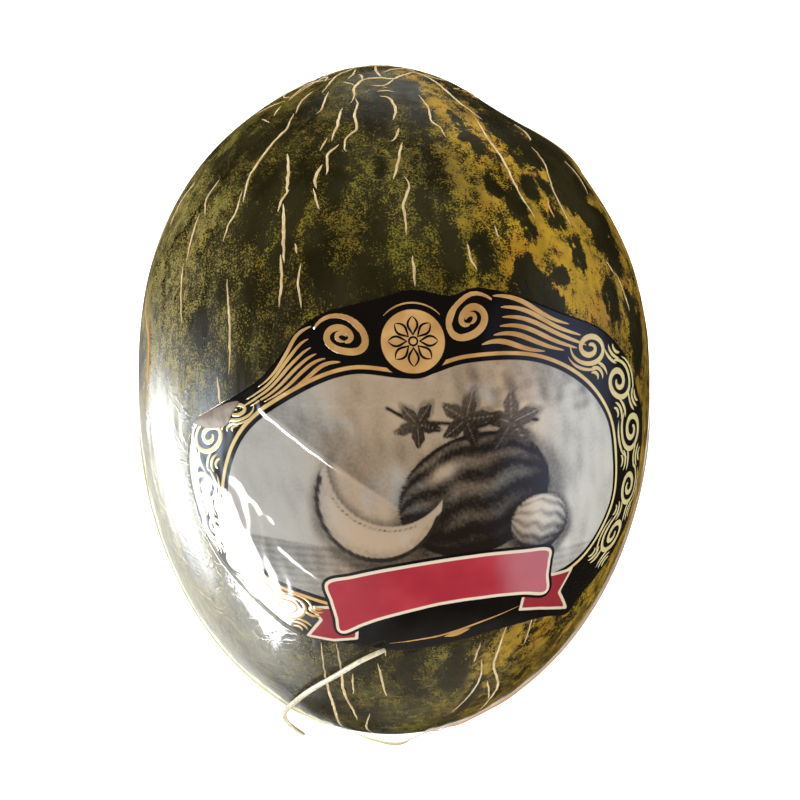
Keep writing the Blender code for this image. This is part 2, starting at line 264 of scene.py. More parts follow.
def side_distance(outline, across, along):
    """Distance to a closed outline, positive inside it.

    It is the least distance to any side, signed by whether a line from the point crosses an odd
    number of sides.
    """
    near = np.full(across.shape, 1e9)
    inside = np.zeros(across.shape, bool)
    for start, end in zip(outline, np.roll(outline, -1, axis=0)):
        near = np.minimum(near, straight_distance(start, end, across, along))
        (ax, ay), (bx, by) = start, end
        if ay != by:
            meets = ax + (along - ay) * (bx - ax) / (by - ay)
            inside ^= ((along >= ay) != (along >= by)) & (across < meets)
    return np.where(inside, near, -near)


def line_distance(route, across, along):
    """The least distance to an open line."""
    near = [straight_distance(start, end, across, along) for start, end in zip(route, route[1:])]
    return np.min(near, axis=0)


def grid_quads(rows, columns, first=0):
    """Quads between neighbouring rows of points, and across the seam where each row closes."""
    r, c = np.meshgrid(np.arange(rows - 1), np.arange(columns), indexing="ij")
    n = (c + 1) % columns
    corners = (r * columns + c, r * columns + n, (r + 1) * columns + n, (r + 1) * columns + c)
    quads = np.stack(corners, axis=-1)
    return quads.reshape(-1, 4) + first


def fan(ring, tip):
    """Triangles from a ring of point numbers to one tip."""
    ring = np.asarray(ring)
    return np.stack([ring, np.roll(ring, -1), np.full(len(ring), tip)], axis=-1)


def end_fans(count, columns, first_tip, last_tip):
    """Triangles that close the first and the last row of a grid of count points, each to a tip."""
    return np.vstack([fan(np.arange(columns), first_tip)[:, ::-1],
                      fan(np.arange(count - columns, count), last_tip)])


def new_object(name, data):
    """An object in the scene from a mesh, a light or a camera."""
    made = bpy.data.objects.new(name, data)
    bpy.context.scene.collection.objects.link(made)
    return made


def new_piece(name, points, quads, triangles, replaced=(), flip=False):
    """An object at the origin from points, quads and triangles, riding on the melon's one body."""
    points = np.asarray(points, float).reshape(-1, 3)
    quads = np.asarray(quads, int).reshape(-1, 4)
    triangles = np.asarray(triangles, int).reshape(-1, 3)
    if flip:
        quads, triangles = quads[:, ::-1], triangles[:, ::-1]
    corners = np.concatenate([quads.ravel(), triangles.ravel()])
    starts = np.concatenate([np.arange(len(quads)) * 4, len(quads) * 4 + np.arange(len(triangles)) * 3])
    mesh = bpy.data.meshes.new(name)
    mesh.vertices.add(len(points))
    mesh.vertices.foreach_set("co", points.ravel())
    mesh.loops.add(len(corners))
    mesh.loops.foreach_set("vertex_index", corners)
    mesh.polygons.add(len(starts))
    mesh.polygons.foreach_set("loop_start", starts)
    mesh.update(calc_edges=True)
    mesh.validate()
    mesh.shade_smooth()
    piece = new_object(name, mesh)
    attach(piece, "root")
    if replaced:
        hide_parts(*replaced)
    return piece


def note(piece, name, values):
    """Writes one number, or one vector, for each point of a piece, for its material to read."""
    values = np.asarray(values, float)
    vector = values.ndim > 1
    kind, field = ("FLOAT_VECTOR", "vector") if vector else ("FLOAT", "value")
    piece.data.attributes.new(name, kind, "POINT").data.foreach_set(field, values.ravel())


class Recipe:
    """Short ways to add nodes to one material or node group."""

    def __init__(self, tree):
        self.tree = tree

    def put(self, socket, value):
        """Links a socket, or sets a plain value."""
        if isinstance(value, bpy.types.NodeSocket):
            self.tree.links.new(value, socket)
        elif isinstance(value, tuple) and len(value) == 3 and len(socket.default_value) == 4:
            socket.default_value = (*value, 1)
        else:
            socket.default_value = value

    def give(self, node, inputs):
        """Gives some of a node's inputs, by name or number."""
        for key, value in inputs.items():
            self.put(node.inputs[key], value)

    def node(self, kind, inputs=None, **settings):
        """Adds a node, sets its properties and gives its inputs."""
        made = self.tree.nodes.new(kind)
        for key, value in settings.items():
            setattr(made, key, value)
        self.give(made, inputs or {})
        return made

    def maths(self, operation, a, b=0.0, clamp=False):
        """One operation on two values, or on one."""
        return self.node("ShaderNodeMath", {0: a, 1: b}, operation=operation, use_clamp=clamp).outputs[0]

    def add(self, *terms):
        """The sum of some values."""
        total = terms[0]
        for term in terms[1:]:
            total = self.maths("ADD", total, term)
        return total

    def times(self, a, b):
        """Two values multiplied."""
        return self.maths("MULTIPLY", a, b)

    def minus(self, a, b):
        """One value less another."""
        return self.maths("SUBTRACT", a, b)

    def swing(self, value, size):
        """A noise value, which centres on a half, as ups and downs of a size."""
        return self.times(self.minus(value, 0.5), size)

    def apart(self, a, b):
        """How far apart two values are."""
        return self.maths("ABSOLUTE", self.minus(a, b))

    def ramp(self, value, low, high, bottom=0.0, top=1.0, smooth=True):
        """Bottom below low and top above high, smoothly or straight between."""
        inputs = {"Value": value, "From Min": low, "From Max": high, "To Min": bottom, "To Max": top}
        kind = "SMOOTHSTEP" if smooth else "LINEAR"
        return self.node("ShaderNodeMapRange", inputs, interpolation_type=kind).outputs["Result"]

    def blend(self, share, below, above):
        """A colour between two, by a share."""
        return self.node("ShaderNodeMix", {"Factor": share, 6: below, 7: above}, data_type="RGBA").outputs[2]

    def shade(self, colour, amount):
        """A colour made darker or lighter by a number."""
        return self.node("ShaderNodeVectorMath", {0: colour, "Scale": amount}, operation="SCALE").outputs[0]

    def stretched(self, vector, factors):
        """A place multiplied along each axis, which draws a pattern out where its factor is small."""
        inputs = {"Vector": vector, "Scale": factors}
        return self.node("ShaderNodeMapping", inputs, vector_type="POINT").outputs[0]

    def noise(self, vector, scale, detail=2.0, rough=0.5, warp=0.0):
        """Cloudy noise at a place, about a half."""
        inputs = {"Vector": vector, "Scale": scale, "Detail": detail, "Roughness": rough, "Distortion": warp}
        return self.node("ShaderNodeTexNoise", inputs).outputs[0]

    def read(self, name, output="Fac"):
        """A number, or with output Vector a vector, that note() wrote on the mesh."""
        return self.node("ShaderNodeAttribute", attribute_name=name).outputs[output]

    def parts(self, vector):
        """The x, y and z of a vector."""
        return self.node("ShaderNodeSeparateXYZ", {0: vector}).outputs

    def place(self):
        """The piece's own coordinates, in metres."""
        return self.node("ShaderNodeTexCoord").outputs["Object"]

    def bump(self, height, strength, distance):
        """A normal tilted by a height's slopes."""
        inputs = {"Height": height, "Strength": strength, "Distance": distance}
        return self.node("ShaderNodeBump", inputs).outputs[0]

    def use(self, group, **inputs):
        """Places a shared group and gives its inputs."""
        named = {name.capitalize(): value for name, value in inputs.items()}
        return self.node("ShaderNodeGroup", named, node_tree=group).outputs


def new_material(name):
    """A material with its recipe and its Principled shader."""
    material = bpy.data.materials.new(name)
    material.use_nodes = True
    recipe = Recipe(material.node_tree)
    shader = material.node_tree.nodes["Principled BSDF"]
    return material, recipe, shader


def new_group(name, inputs, outputs):
    """A node group with number, vector or colour sockets, its recipe and its ends."""
    tree = bpy.data.node_groups.new(name, "ShaderNodeTree")
    kinds = {"number": "NodeSocketFloat", "vector": "NodeSocketVector", "colour": "NodeSocketColor"}
    for label, kind in inputs:
        tree.interface.new_socket(label, in_out="INPUT", socket_type=kinds[kind])
    for label, kind in outputs:
        tree.interface.new_socket(label, in_out="OUTPUT", socket_type=kinds[kind])
    recipe = Recipe(tree)
    return tree, recipe, recipe.node("NodeGroupInput").outputs, recipe.node("NodeGroupOutput").inputs


def crinkle_group():
    """Tight plastic film: long soft pulls, sharp little creases between flat cells, and their height."""
    tree, r, given, out = new_group(
        "film_crinkle",
        [("Place", "vector"), ("Scale", "number"), ("Crease", "number")],
        [("Height", "number"), ("Creases", "number")],
    )
    pulls = r.noise(r.stretched(given["Place"], (1.0, 0.35, 1.0)), given["Scale"], 2.0, 0.5, 0.6)
    fold = r.noise(r.stretched(given["Place"], (0.5, 1.0, 1.0)), r.times(given["Scale"], 2.3), 2.0, 0.5, 1.2)
    creases = r.ramp(r.apart(fold, 0.5), 0.0, 0.05, 1.0, 0.0)
    r.put(out["Height"], r.add(pulls, r.times(r.times(creases, given["Crease"]), 0.25)))
    r.put(out["Creases"], creases)
    return tree


def mottle_group():
    """Patches that ripen light out of the dark rind: a bias plus three sizes of grain.

    It also puts out the fine and the middle grain.
    """
    tree, r, given, out = new_group(
        "rind_mottle",
        [("Grain", "vector"), ("Bias", "number"), ("Speckle", "number")],
        [("Depth", "number"), ("Fine", "number"), ("Middle", "number")],
    )
    long_grain = r.stretched(given["Grain"], (1.0, 1.0, 0.42))
    large = r.noise(long_grain, 75.0, 2.0, 0.5)
    middle = r.noise(r.stretched(given["Grain"], (1.0, 1.0, 0.7)), 270.0, 4.0, 0.68, 0.3)
    fine = r.noise(given["Grain"], 1650.0, 2.0, 0.75)
    grains = r.swing(large, 0.9), r.swing(middle, 1.7), r.swing(fine, given["Speckle"])
    r.put(out["Depth"], r.add(given["Bias"], *grains))
    r.put(out["Fine"], fine)
    r.put(out["Middle"], middle)
    return tree


CRINKLE = crinkle_group()
MOTTLE = mottle_group()

# blotches of the rind: longitude, station, half width and half length in mm
DARK_MARKS = (
    (-14, 84, 4, 9), (-3, 71, 3, 7), (-4, 56, 5, 8), (-35, 80, 7, 12), (14, 86, 3, 12), (9, 77, 3, 5),
    (14, 64, 4, 11), (-16, 63, 5, 8), (-34, 67, 8, 7), (-2, 102, 5, 7), (16, 108, 5, 8), (-1, 86, 3, 4),
    (31, 96, 3, 7), (30, 80, 3, 4), (42, 79, 4, 4), (35, 71, 4, 8), (46, 70, 3, 4), (60, 86, 15, 23),
    (60, 76, 10, 14), (64, 64, 8, 14), (21, 60, 3, 7), (31, 53, 7, 8), (48, 59, 4, 6), (40, 53, 5, 3),
    (37, 45, 4, 4), (-7, -72, 4, 7), (4, -71, 5, 10), (16, -76, 5, 11), (26, -89, 3, 9),
    (-30, -93, 9, 12), (-7, -105, 5, 14), (-39, 49, 3, 6), (-31, 51, 4, 6), (-44, 36, 5, 6),
    (-32, 22, 5, 6), (-24, 72, 4, 14), (-13, 51, 6, 6), (-36, 100, 6, 9), (-55, 90, 13, 14),
    (56, 43, 5, 9), (66, 31, 6, 14),
)
LIGHT_MARKS = (
    (28, 99, 4, 9), (26, 92, 3, 5), (20, 86, 3, 5), (17, 76, 7, 10), (18, 63, 2, 8), (16, 53, 5, 3),
    (8, 58, 5, 10), (-5, 82, 3, 6), (5, 92, 4, 7), (25, 74, 5, 6), (26, 60, 3, 7), (41, 63, 14, 11),
    (53, 54, 7, 9), (44, 47, 9, 5), (54, 40, 6, 7), (47, 83, 5, 5), (45, 77, 3, 7), (52, 68, 6, 5),
    (40, 91, 4, 9), (-30, -80, 5, 8), (-39, -72, 8, 8), (-18, -67, 4, 7), (-14, -84, 4, 7),
    (-8, -94, 3, 6), (0, -86, 3, 8), (10, -76, 3, 8), (12, -96, 4, 9), (27, -73, 5, 11),
    (32, -67, 4, 8), (40, -103, 9, 10), (-46, 50, 3, 6), (-50, 71, 3, 9), (-37, 56, 2, 3),
    (-38, 35, 3, 6), (-34, 40, 3, 5), (-28, 40, 5, 6), (-19, 39, 5, 5), (-12, 68, 6, 8),
    (2, 77, 4, 11), (2, 63, 5, 8), (-75, 73, 10, 13), (-47, 22, 7, 8), (-60, 26, 6, 10),
    # the light blotches along the left rim on the next line are painted light, where the window lights that
    # side
    (-74, 44, 7, 16), (-76, -4, 8, 16), (-75, -40, 9, 24), (-70, -78, 10, 14),
    (72, -30, 7, 20), (70, -62, 6, 14),
    (61, 43, 2, 14), (68, 44, 2, 18), (74, 30, 4, 18), (76, 62, 4, 16),
)
BACK_MARKS = 150
RIND_WAVE = 0.00016


def turn_between(longitude, middle):
    """Degrees of longitude from a middle, the short way round."""
    return np.degrees(np.angle(np.exp(1j * np.radians(longitude - middle))))


def marked(longitude, station, radius, marks, wobble):
    """How much a point lies on any of some blotches: exp(-d^6), d being 1 on a blotch's wobbly oval edge."""
    total = np.zeros(np.broadcast(longitude, station).shape)
    for middle, place, half_width, half_length in marks:
        sideways = np.radians(turn_between(longitude, middle)) * radius / half_width + wobble[0]
        lengthwise = (station - place) / half_length + wobble[1]
        total = np.maximum(total, np.exp(-(sideways ** 2 + lengthwise ** 2) ** 3))
    return total


def back_marks(rng):
    """Seeded blotches for the sides and the back: longer than wide, and some of each kind."""
    dark, light = [], []
    for _ in range(BACK_MARKS):
        longitude = rng.uniform(72, 288)
        mark = (longitude, rng.uniform(-112, 112), rng.uniform(3, 9), rng.uniform(5, 15))
        share_light = 0.62 if longitude < 190 else 0.42
        (light if rng.random() < share_light else dark).append(mark)
    return dark, light


def ripeness_and_painted_light(degrees, station, radius, spots):
    """How light, how ochre and how stippled the skin is, at longitudes in degrees and stations in mm.

    The lightness is a sum: the ochre right side, the crown round the stem, the low left and the far
    left, less a dark stripe left of the middle, more on light blotches and less on dark ones. The low
    left and the far left are painted light: the skin made lighter where the window lights that side.
    """
    back_dark, back_light = back_marks(random.Random(SEED))
    wobble = [size * waves(spots, 16, 0.022, 0.006, SEED + more) for size, more in ((0.42, 8), (0.32, 9))]
    dark = marked(degrees, station, radius, DARK_MARKS + tuple(back_dark), wobble)
    light = marked(degrees, station, radius, LIGHT_MARKS + tuple(back_light), wobble)
    right = step(degrees, 8, 34) * (1 - step(degrees, 150, 178))
    right = right * (0.35 + 0.65 * step(station, -112, -60))
    crown = step(station, 96, 112)
    lit_low_left = step(-degrees, 28, 60) * step(30 - station, 0, 30)
    lit_far_left = step(-degrees, 44, 66) * (1 - step(-degrees, 95, 120))
    # the low left and far left terms are painted light: the skin made lighter on the side the window lights
    bias = -0.15 + 0.13 * right + 0.03 * crown + 0.26 * lit_low_left + 0.16 * lit_far_left
    bias = bias - 0.13 * bell(degrees + 14, 26) + (0.10 + 0.14 * right) * light - (0.36 + 0.08 * right) * dark
    speckle = 3.5 - 1.5 * right - 0.6 * right * step(light, 0.4, 0.9) - (0.3 + right) * step(dark, 0.3, 0.8)
    return bias, right, speckle


def make_rind():
    """The fruit's skin, as a grid of longitude and angle, with the flat spot pressed in at the floor.

    A point is skin(longitude, t), raised by low waves. Each point notes its place on the skin for the
    grain of the pattern, and how ripe it looks, with painted light on its left side.
    """
    longitude = np.linspace(-math.pi, math.pi, RIND_AROUND, endpoint=False)[None, :]
    t = (np.arange(1, RIND_ALONG + 1) / (RIND_ALONG + 1) * math.pi)[:, None]
    radius, station = profile(t)
    flat = skin(longitude, t)
    low_waves = waves([flat[..., 0], flat[..., 1] * 0.6, flat[..., 2]], 14, 0.060, 0.016, SEED)
    points = skin(longitude, t, low_waves * (RIND_WAVE * np.sin(t) ** 0.5))
    ends = skin(np.zeros(2), np.array([0.0, math.pi]))
    everything = np.vstack([points.reshape(-1, 3), ends])
    everything[:, 2] = np.maximum(everything[:, 2], 0)
    count = RIND_AROUND * RIND_ALONG
    piece = new_piece("rind", everything, grid_quads(RIND_ALONG, RIND_AROUND),
                      end_fans(count, RIND_AROUND, count, count + 1), ["melon"], flip=True)

    degrees, places, reach = np.broadcast_arrays(np.degrees(longitude), station * 1000, radius * 1000)
    spots = [flat[..., 0], flat[..., 1] * 0.7, flat[..., 2]]
    bias, ochre, speckle = ripeness_and_painted_light(degrees, places, reach, spots)
    arc = (math.pi / 2 - t) * STEM_HALF + 0 * longitude
    grain = np.stack([radius * np.sin(longitude), radius * np.cos(longitude), arc], axis=-1)

    def with_ends(values):
        """Values of the grid, and its first and last once more for the two end points."""
        rows = values.reshape(count, -1)
        return np.vstack([rows, rows[:1], rows[-1:]]).squeeze()

    note(piece, "light_bias", with_ends(bias))
    note(piece, "ochre", with_ends(ochre))
    note(piece, "speckle", with_ends(speckle))
    note(piece, "grain", with_ends(grain))
    piece.data.materials.append(rind_material())


# colours of the rind: the pairs are the two ends of a slow drift over the skin
OLIVE = ((0.112, 0.080, 0.008), (0.138, 0.116, 0.010))
OCHRE = ((0.222, 0.133, 0.006), (0.345, 0.206, 0.009))
NIGHT_GREEN = ((0.0110, 0.0088, 0.0018), (0.0215, 0.0180, 0.0055))
MOSS = (0.064, 0.051, 0.009)
# the pale olive of the left flank: painted light over the rind's own olive
PALE_LIT_FLANK = (0.255, 0.212, 0.055)
RUST = (0.400, 0.165, 0.010)


def rind_material():
    """Dark bottle-green skin with stippled olive clouds on the left and ochre patches on the right; the olive
    is painted paler towards the left flank, where the window lights it.
    """
    material, r, shader = new_material("mottled_rind")
    grain = r.read("grain", "Vector")
    ochre = r.read("ochre")
    mottle = r.use(MOTTLE, grain=grain, bias=r.read("light_bias"), speckle=r.read("speckle"))
    hue = r.noise(r.stretched(grain, (1.0, 1.0, 0.5)), 60.0, 2.0)
    olive = r.blend(r.ramp(hue, 0.40, 0.62), *OLIVE)
    # painted light: the olive turns paler towards the left flank, which the window lights
    olive = r.blend(r.ramp(r.parts(grain)[0], -0.034, -0.076), olive, PALE_LIT_FLANK)
    ripe = r.blend(ochre, olive, r.blend(r.ramp(hue, 0.38, 0.62), *OCHRE))
    warmth = r.ramp(r.noise(grain, 95.0, 1.0), 0.54, 0.64)
    near_edge = r.ramp(mottle["Depth"], 0.30, 0.04)
    edge = r.times(r.times(near_edge, warmth), r.ramp(ochre, 0.0, 1.0, 0.15, 0.75))
    lively = r.shade(r.blend(edge, ripe, RUST), r.ramp(mottle["Middle"], 0.25, 0.75, 0.76, 1.20))
    night = r.blend(r.ramp(hue, 0.35, 0.65), *NIGHT_GREEN)
    green = r.ramp(mottle["Depth"], r.ramp(ochre, 0.0, 1.0, -0.24, -0.12), 0.03)
    moss = r.blend(green, night, MOSS)
    cover = r.ramp(mottle["Depth"], -0.02, 0.06)
    smear = r.noise(r.stretched(grain, (1.0, 1.0, 0.10)), 210.0, 2.0)
    height = r.add(r.times(mottle["Fine"], 0.30), r.times(mottle["Middle"], 0.5), r.times(smear, 1.6))
    r.give(shader, {
        "Base Color": r.blend(cover, moss, lively),
        "Roughness": r.add(r.times(cover, 0.10), r.ramp(smear, 0.3, 0.7, 0.22, 0.40)),
        "Specular IOR Level": 0.30,
        "Normal": r.bump(height, 0.24, 0.0006),
    })
    return material


# corky cracks: a path of longitudes and stations, and the width in mm
CRACKS = (
    (((-32, 90), (-29, 85), (-27, 78)), 2.0), (((-26.6, 79.6), (-28, 76), (-28.2, 72.5)), 1.6),
    (((-27.4, 76), (-26, 71), (-25, 65), (-24, 58)), 2.1), (((-25, 60.5), (-24, 53), (-24, 45)), 1.8),
    (((-47, 109), (-46.5, 107), (-45, 105), (-41, 102)), 1.4),
    (((-42, 102), (-40, 99), (-39, 97), (-40, 95), (-41, 91), (-41.5, 87), (-42, 83), (-41, 79),
      (-40, 75)), 1.8),
    (((-42, 78), (-41, 72), (-42, 68), (-42, 63)), 1.3), (((-22, 64), (-21, 61)), 1.2),
    (((-20, 58), (-20, 52), (-19, 45)), 1.4),
    (((-72, 117.4), (-52, 115.6), (-52, 114.6), (-45, 112.6), (-40, 110.4), (-38, 108.5)), 1.6),
    (((-34, 109), (-29, 104), (-30, 102)), 1.3), (((-19, 104), (-18, 99), (-18, 94)), 1.8),
    (((-20, 95), (-21, 91)), 1.2), (((-15, 93), (-18, 90), (-17, 86), (-17, 84)), 1.7),
    (((-19, 87), (-20, 83), (-19, 80)), 1.9), (((-20, 80), (-18, 76), (-17, 74)), 1.3),
    (((-25, 114.4), (-20, 114.1), (-17, 113.3), (-16.5, 112.2)), 1.3),
    (((-16, 105.5), (-15, 107), (-16, 108.3), (-18, 110), (-17, 111.4), (-16, 112.4), (-12, 113), (0, 113.3),
      (11, 113), (19, 113.8), (30, 114.5), (44, 115)), 2.0),
    (((-14, 107), (-12, 105), (-12, 102), (-10, 98), (-13, 95), (-13, 92), (-12, 91)), 1.6),
    (((-13, 117.4), (-4, 115.3), (1, 113.5)), 1.7), (((2, 115), (22, 116.1), (52, 116.2), (54, 115)), 1.4),
    (((-7, 111), (1, 110.8), (6.5, 111.8), (12, 112.9)), 1.3), (((1, 110.5), (4.5, 110.1)), 0.9),
    (((-94, 117), (-79, 115), (-66, 113), (-61, 110), (-58, 106)), 1.2),
    (((-41, 116), (-31.5, 114.6), (-30, 113)), 1.3), (((-31, 112), (-22.5, 111.4), (-19, 110.8)), 1.0),
    (((-48, 113), (-60, 112), (-67, 110.9), (-62, 108.3), (-58, 105.8)), 1.3),
    (((-61, 105.7), (-70, 103.3), (-75, 101)), 1.2), (((-70, 112), (-78, 108), (-80, 104)), 1.2),
    (((-58, 104), (-54, 101)), 1.0), (((-61, 100), (-52, 99)), 0.9),
    (((30, 114.6), (46, 115), (52, 114.2), (51, 112.6), (47, 109.5), (45, 105.8), (46, 103), (47, 100)), 2.0),
    (((53, 114), (70, 112.5), (90, 112)), 1.2), (((68, 109), (80, 108.5), (92, 109)), 1.1),
    (((-1, 107.7), (4, 107), (6, 103.6), (4, 100.4)), 1.6), (((6, 98), (4, 95), (2, 94)), 1.3),
    (((6, 94), (4, 89), (2, 83)), 1.5), (((5, 84), (6, 81), (4, 76), (4, 72), (4, 67)), 1.6),
    (((22, 108), (22, 104), (20, 100), (22, 98), (22, 95)), 1.3),
    (((-2.5, 109), (4, 109.3), (8, 108.8)), 1.0),
    (((5, 61), (5, 57), (5, 52)), 1.6), (((18, 64), (18, 60), (19, 56)), 1.3),
    (((44, 101), (39, 95), (38, 89), (37, 82), (37, 76), (38, 72), (38, 70)), 1.6),
    (((69, 98), (66, 95), (61, 93)), 1.1), (((57, 91), (55, 86), (51, 79), (50, 73), (50, 67)), 1.2),
    (((26, 69), (26, 65)), 1.0), (((59, 55), (61, 50)), 0.9), (((62, 50), (64, 38)), 1.2),
    (((69, 86), (71, 80), (69, 75)), 0.9), (((-55, 81), (-56, 75), (-53, 70)), 1.3),
    (((-56, 70), (-55, 63), (-54, 55)), 1.5), (((-55, 55), (-54, 49), (-51, 36)), 1.4),
    (((-69, 80), (-72, 73), (-71, 65)), 1.6), (((-38, 52), (-36, 42), (-35, 32), (-35, 23)), 1.6),
    (((-38, 22), (-37, 12)), 1.6),
)
COVERED_CRACKS = (
    (((-18, -65), (-19, -77), (-20, -88), (-22, -99), (-30, -114)), 1.8),
    (((-14, -65), (-14, -76), (-15, -87), (-14, -95), (-14, -102)), 1.7), (((-11, -77), (-12, -87)), 1.2),
    (((-4, -72), (-2, -87)), 1.4), (((-2, -64), (-2, -69)), 1.0),
    (((-8, -97), (-12, -107), (-12, -115)), 1.3),
    (((24, -73), (26, -83), (25, -92), (23, -99)), 1.3), (((22, -66), (22, -74)), 1.2),
    (((28, -59), (28, -70), (29, -78), (35, -88), (37, -97), (40, -104)), 1.7), (((29, -84), (36, -95)), 1.2),
    (((35, -59), (36, -70)), 1.2), (((-39, -99), (-47, -109)), 1.3),
)
ORANGE_CRACKS = (
    (((-75, 44), (-70, 34), (-66, 26), (-67, 3)), 2.5),
    (((46, 76), (45, 73), (45, 70)), 1.4),
)
CRACK_RISE = 0.00036
COVERED_RISE = 0.00026
CRACK_STEP = 0.8
CRACK_SHARE = 0.32
CRACK_ROOT = -0.0005
CRACK_SIDES = 9
BACK_CRACKS = 64
NECK_CRACKS = 30


def seeded_cracks(rng):
    """Lengthwise cracks on the sides and back, and short crossing ones round the stem end.

    Those that would lie on the flat spot move towards the stem end, and two in three are left out.
    """
    cracks = []
    for number in range(BACK_CRACKS):
        longitude = 80 + (number + rng.uniform(-0.4, 0.4)) * (286 - 80) / (BACK_CRACKS - 1)
        start = rng.choice((rng.uniform(30, 84), rng.uniform(-30, 40), rng.uniform(-100, -66)))
        stretch = rng.uniform(9, 26)
        drift = rng.uniform(-3, 3)
        under = abs(longitude - 180) < 30 and start < 60
        if under:
            start = rng.uniform(62, 98)
        path = [(longitude + drift * u + rng.uniform(-0.8, 0.8), min(start + stretch * u, 112))
                for u in (0, 0.35, 0.7, 1)]
        width = rng.uniform(0.9, 1.7)
        if not under or number % 3 == 0:
            cracks.append((path, width))
    for number in range(NECK_CRACKS):
        longitude = 60 + 240 * (number + rng.uniform(-0.3, 0.3)) / NECK_CRACKS
        station = rng.uniform(106, 115.5)
        sweep = rng.uniform(10, 26)
        path = [(longitude + sweep * u, station + rng.uniform(-1.0, 1.0)) for u in (0, 0.5, 1)]
        cracks.append((path, rng.uniform(0.8, 1.4)))
    return cracks


def welt(path, width, rise, rng):
    """One crack as a closed welt along the skin: its points, and how far across it each one lies.

    Across, the welt is half a rounded ridge, rise * cos(a)^0.7 high at half-width * sin(a), closed by
    a root under the skin. Along, its width tapers to a point at both ends and wavers.
    """
    places = unrolled(path)
    route = even_route(places, CRACK_STEP)
    count = len(route)
    u = np.linspace(0, 1, count)
    shrink = np.clip(profile(math.pi / 2 - route[:, 1] / (STEM_HALF * 1000))[0] / RADIUS, 0.04, 1)
    ahead = np.gradient(route, axis=0)
    ahead[:, 0] *= shrink
    ahead /= np.maximum(np.linalg.norm(ahead, axis=1, keepdims=True), 1e-9)
    side = np.stack([ahead[:, 1], -ahead[:, 0]], axis=-1)
    soften = np.array([0.25, 0.5, 0.25])
    waver = 1 + 0.26 * np.convolve([rng.uniform(-1, 1) for _ in u], soften, "same")
    taper = np.clip(np.sin(math.pi * np.clip(u, 0.004, 0.996)) ** 0.45, 0.06, 1)
    half = CRACK_SHARE * width * taper * waver
    jog = 0.24 * np.convolve([rng.uniform(-1, 1) for _ in u], soften, "same")
    a = np.linspace(-math.pi / 2, math.pi / 2, CRACK_SIDES - 2)
    sideways = np.concatenate([np.sin(a), [0.6, -0.6]])
    height = np.concatenate([rise * np.abs(np.cos(a)) ** 0.7 - 0.0001, [CRACK_ROOT, CRACK_ROOT]])
    offset = sideways[None, :] * half[:, None] + jog[:, None]
    across = route[:, :1] + offset * side[:, :1] / shrink[:, None]
    along = route[:, 1:] + offset * side[:, 1:]
    lift = np.where(height > 0, height[None, :] * (0.35 + 0.65 * taper * waver)[:, None], height[None, :])
    points = on_sheet(across, along, lift)
    return points, np.broadcast_to(sideways[None, :], offset.shape)


def join_tubes(tubes, columns):
    """Quads and end caps for several closed tubes that follow each other in one list of points."""
    quads, triangles, first = [], [], 0
    for count in tubes:
        quads.append(grid_quads(count, columns, first))
        for ring, turned in ((first, True), (first + (count - 1) * columns, False)):
            cap = [(ring, ring + k + 1, ring + k + 2) for k in range(columns - 2)]
            triangles += [c[::-1] for c in cap] if turned else cap
        first += count * columns
    return np.vstack(quads), np.array(triangles)


def make_cracks():
    """Every corky crack on the rind, as raised welts in one mesh."""
    rng = random.Random(SEED + 1)
    listed = [(path, width, CRACK_RISE, 0.0) for path, width in CRACKS]
    listed += [(path, width, COVERED_RISE, 0.0) for path, width in COVERED_CRACKS]
    listed += [(path, width, CRACK_RISE, 1.0) for path, width in ORANGE_CRACKS]
    listed += [(path, width, CRACK_RISE, 0.0) for path, width in seeded_cracks(rng)]
    points, across, warm, counts = [], [], [], []
    for path, width, rise, orange in listed:
        ridge, sideways = welt(path, width, rise, rng)
        points.append(ridge.reshape(-1, 3))
        across.append(sideways.ravel())
        warm.append(np.full(sideways.size, orange))
        counts.append(len(ridge))
    quads, triangles = join_tubes(counts, CRACK_SIDES)
    piece = new_piece("cork_cracks", np.vstack(points), quads, triangles)
    note(piece, "across", np.concatenate(across))
    note(piece, "warm", np.concatenate(warm))
    piece.data.materials.append(cork_material())


CORK = ((0.500, 0.370, 0.190), (0.640, 0.530, 0.310))
CORK_EDGE = (0.270, 0.150, 0.062)
ORANGE_CORK = (0.560, 0.270, 0.060)


def cork_material():
    """Pale tan cork with a cream middle, browned edges and fine cross cracks."""
    material, r, shader = new_material("pale_cork")
    across = r.maths("ABSOLUTE", r.read("across"))
    place = r.place()
    grain = r.noise(r.stretched(place, (1.0, 0.35, 1.0)), 1500.0, 2.0, 0.6)
    patch = r.noise(place, 210.0, 1.0)
    pale = r.blend(r.ramp(patch, 0.35, 0.65), *CORK)
    edge = r.ramp(r.add(across, r.swing(grain, 0.5)), 0.62, 1.0)
    tan = r.blend(edge, pale, CORK_EDGE)
    warm = r.blend(r.times(r.read("warm"), 0.8), tan, ORANGE_CORK)
    r.give(shader, {
        "Base Color": r.shade(warm, r.ramp(grain, 0.3, 0.7, 0.80, 1.12)),
        "Roughness": r.ramp(grain, 0.3, 0.7, 0.62, 0.85),
        "Specular IOR Level": 0.25,
        "Normal": r.bump(grain, 0.5, 0.0003),
    })
    return material


# the corky buttons at both ends: radius and height of their rings, from the middle out
STEM_RINGS = ((0.0, -0.0008), (0.0010, -0.0006), (0.0020, -0.0002), (0.0030, 0.0001), (0.0040, -0.0001),
              (0.0048, -0.0004), (0.0055, -0.0014), (0.0062, -0.0030))
SCAR_RINGS = ((0.0, 0.0001), (0.0012, 0.0003), (0.0022, 0.0001), (0.0034, 0.0004), (0.0046, 0.0005),
              (0.0056, 0.0001), (0.0064, -0.0008), (0.0070, -0.0022))
SCAR_SIDES = 72


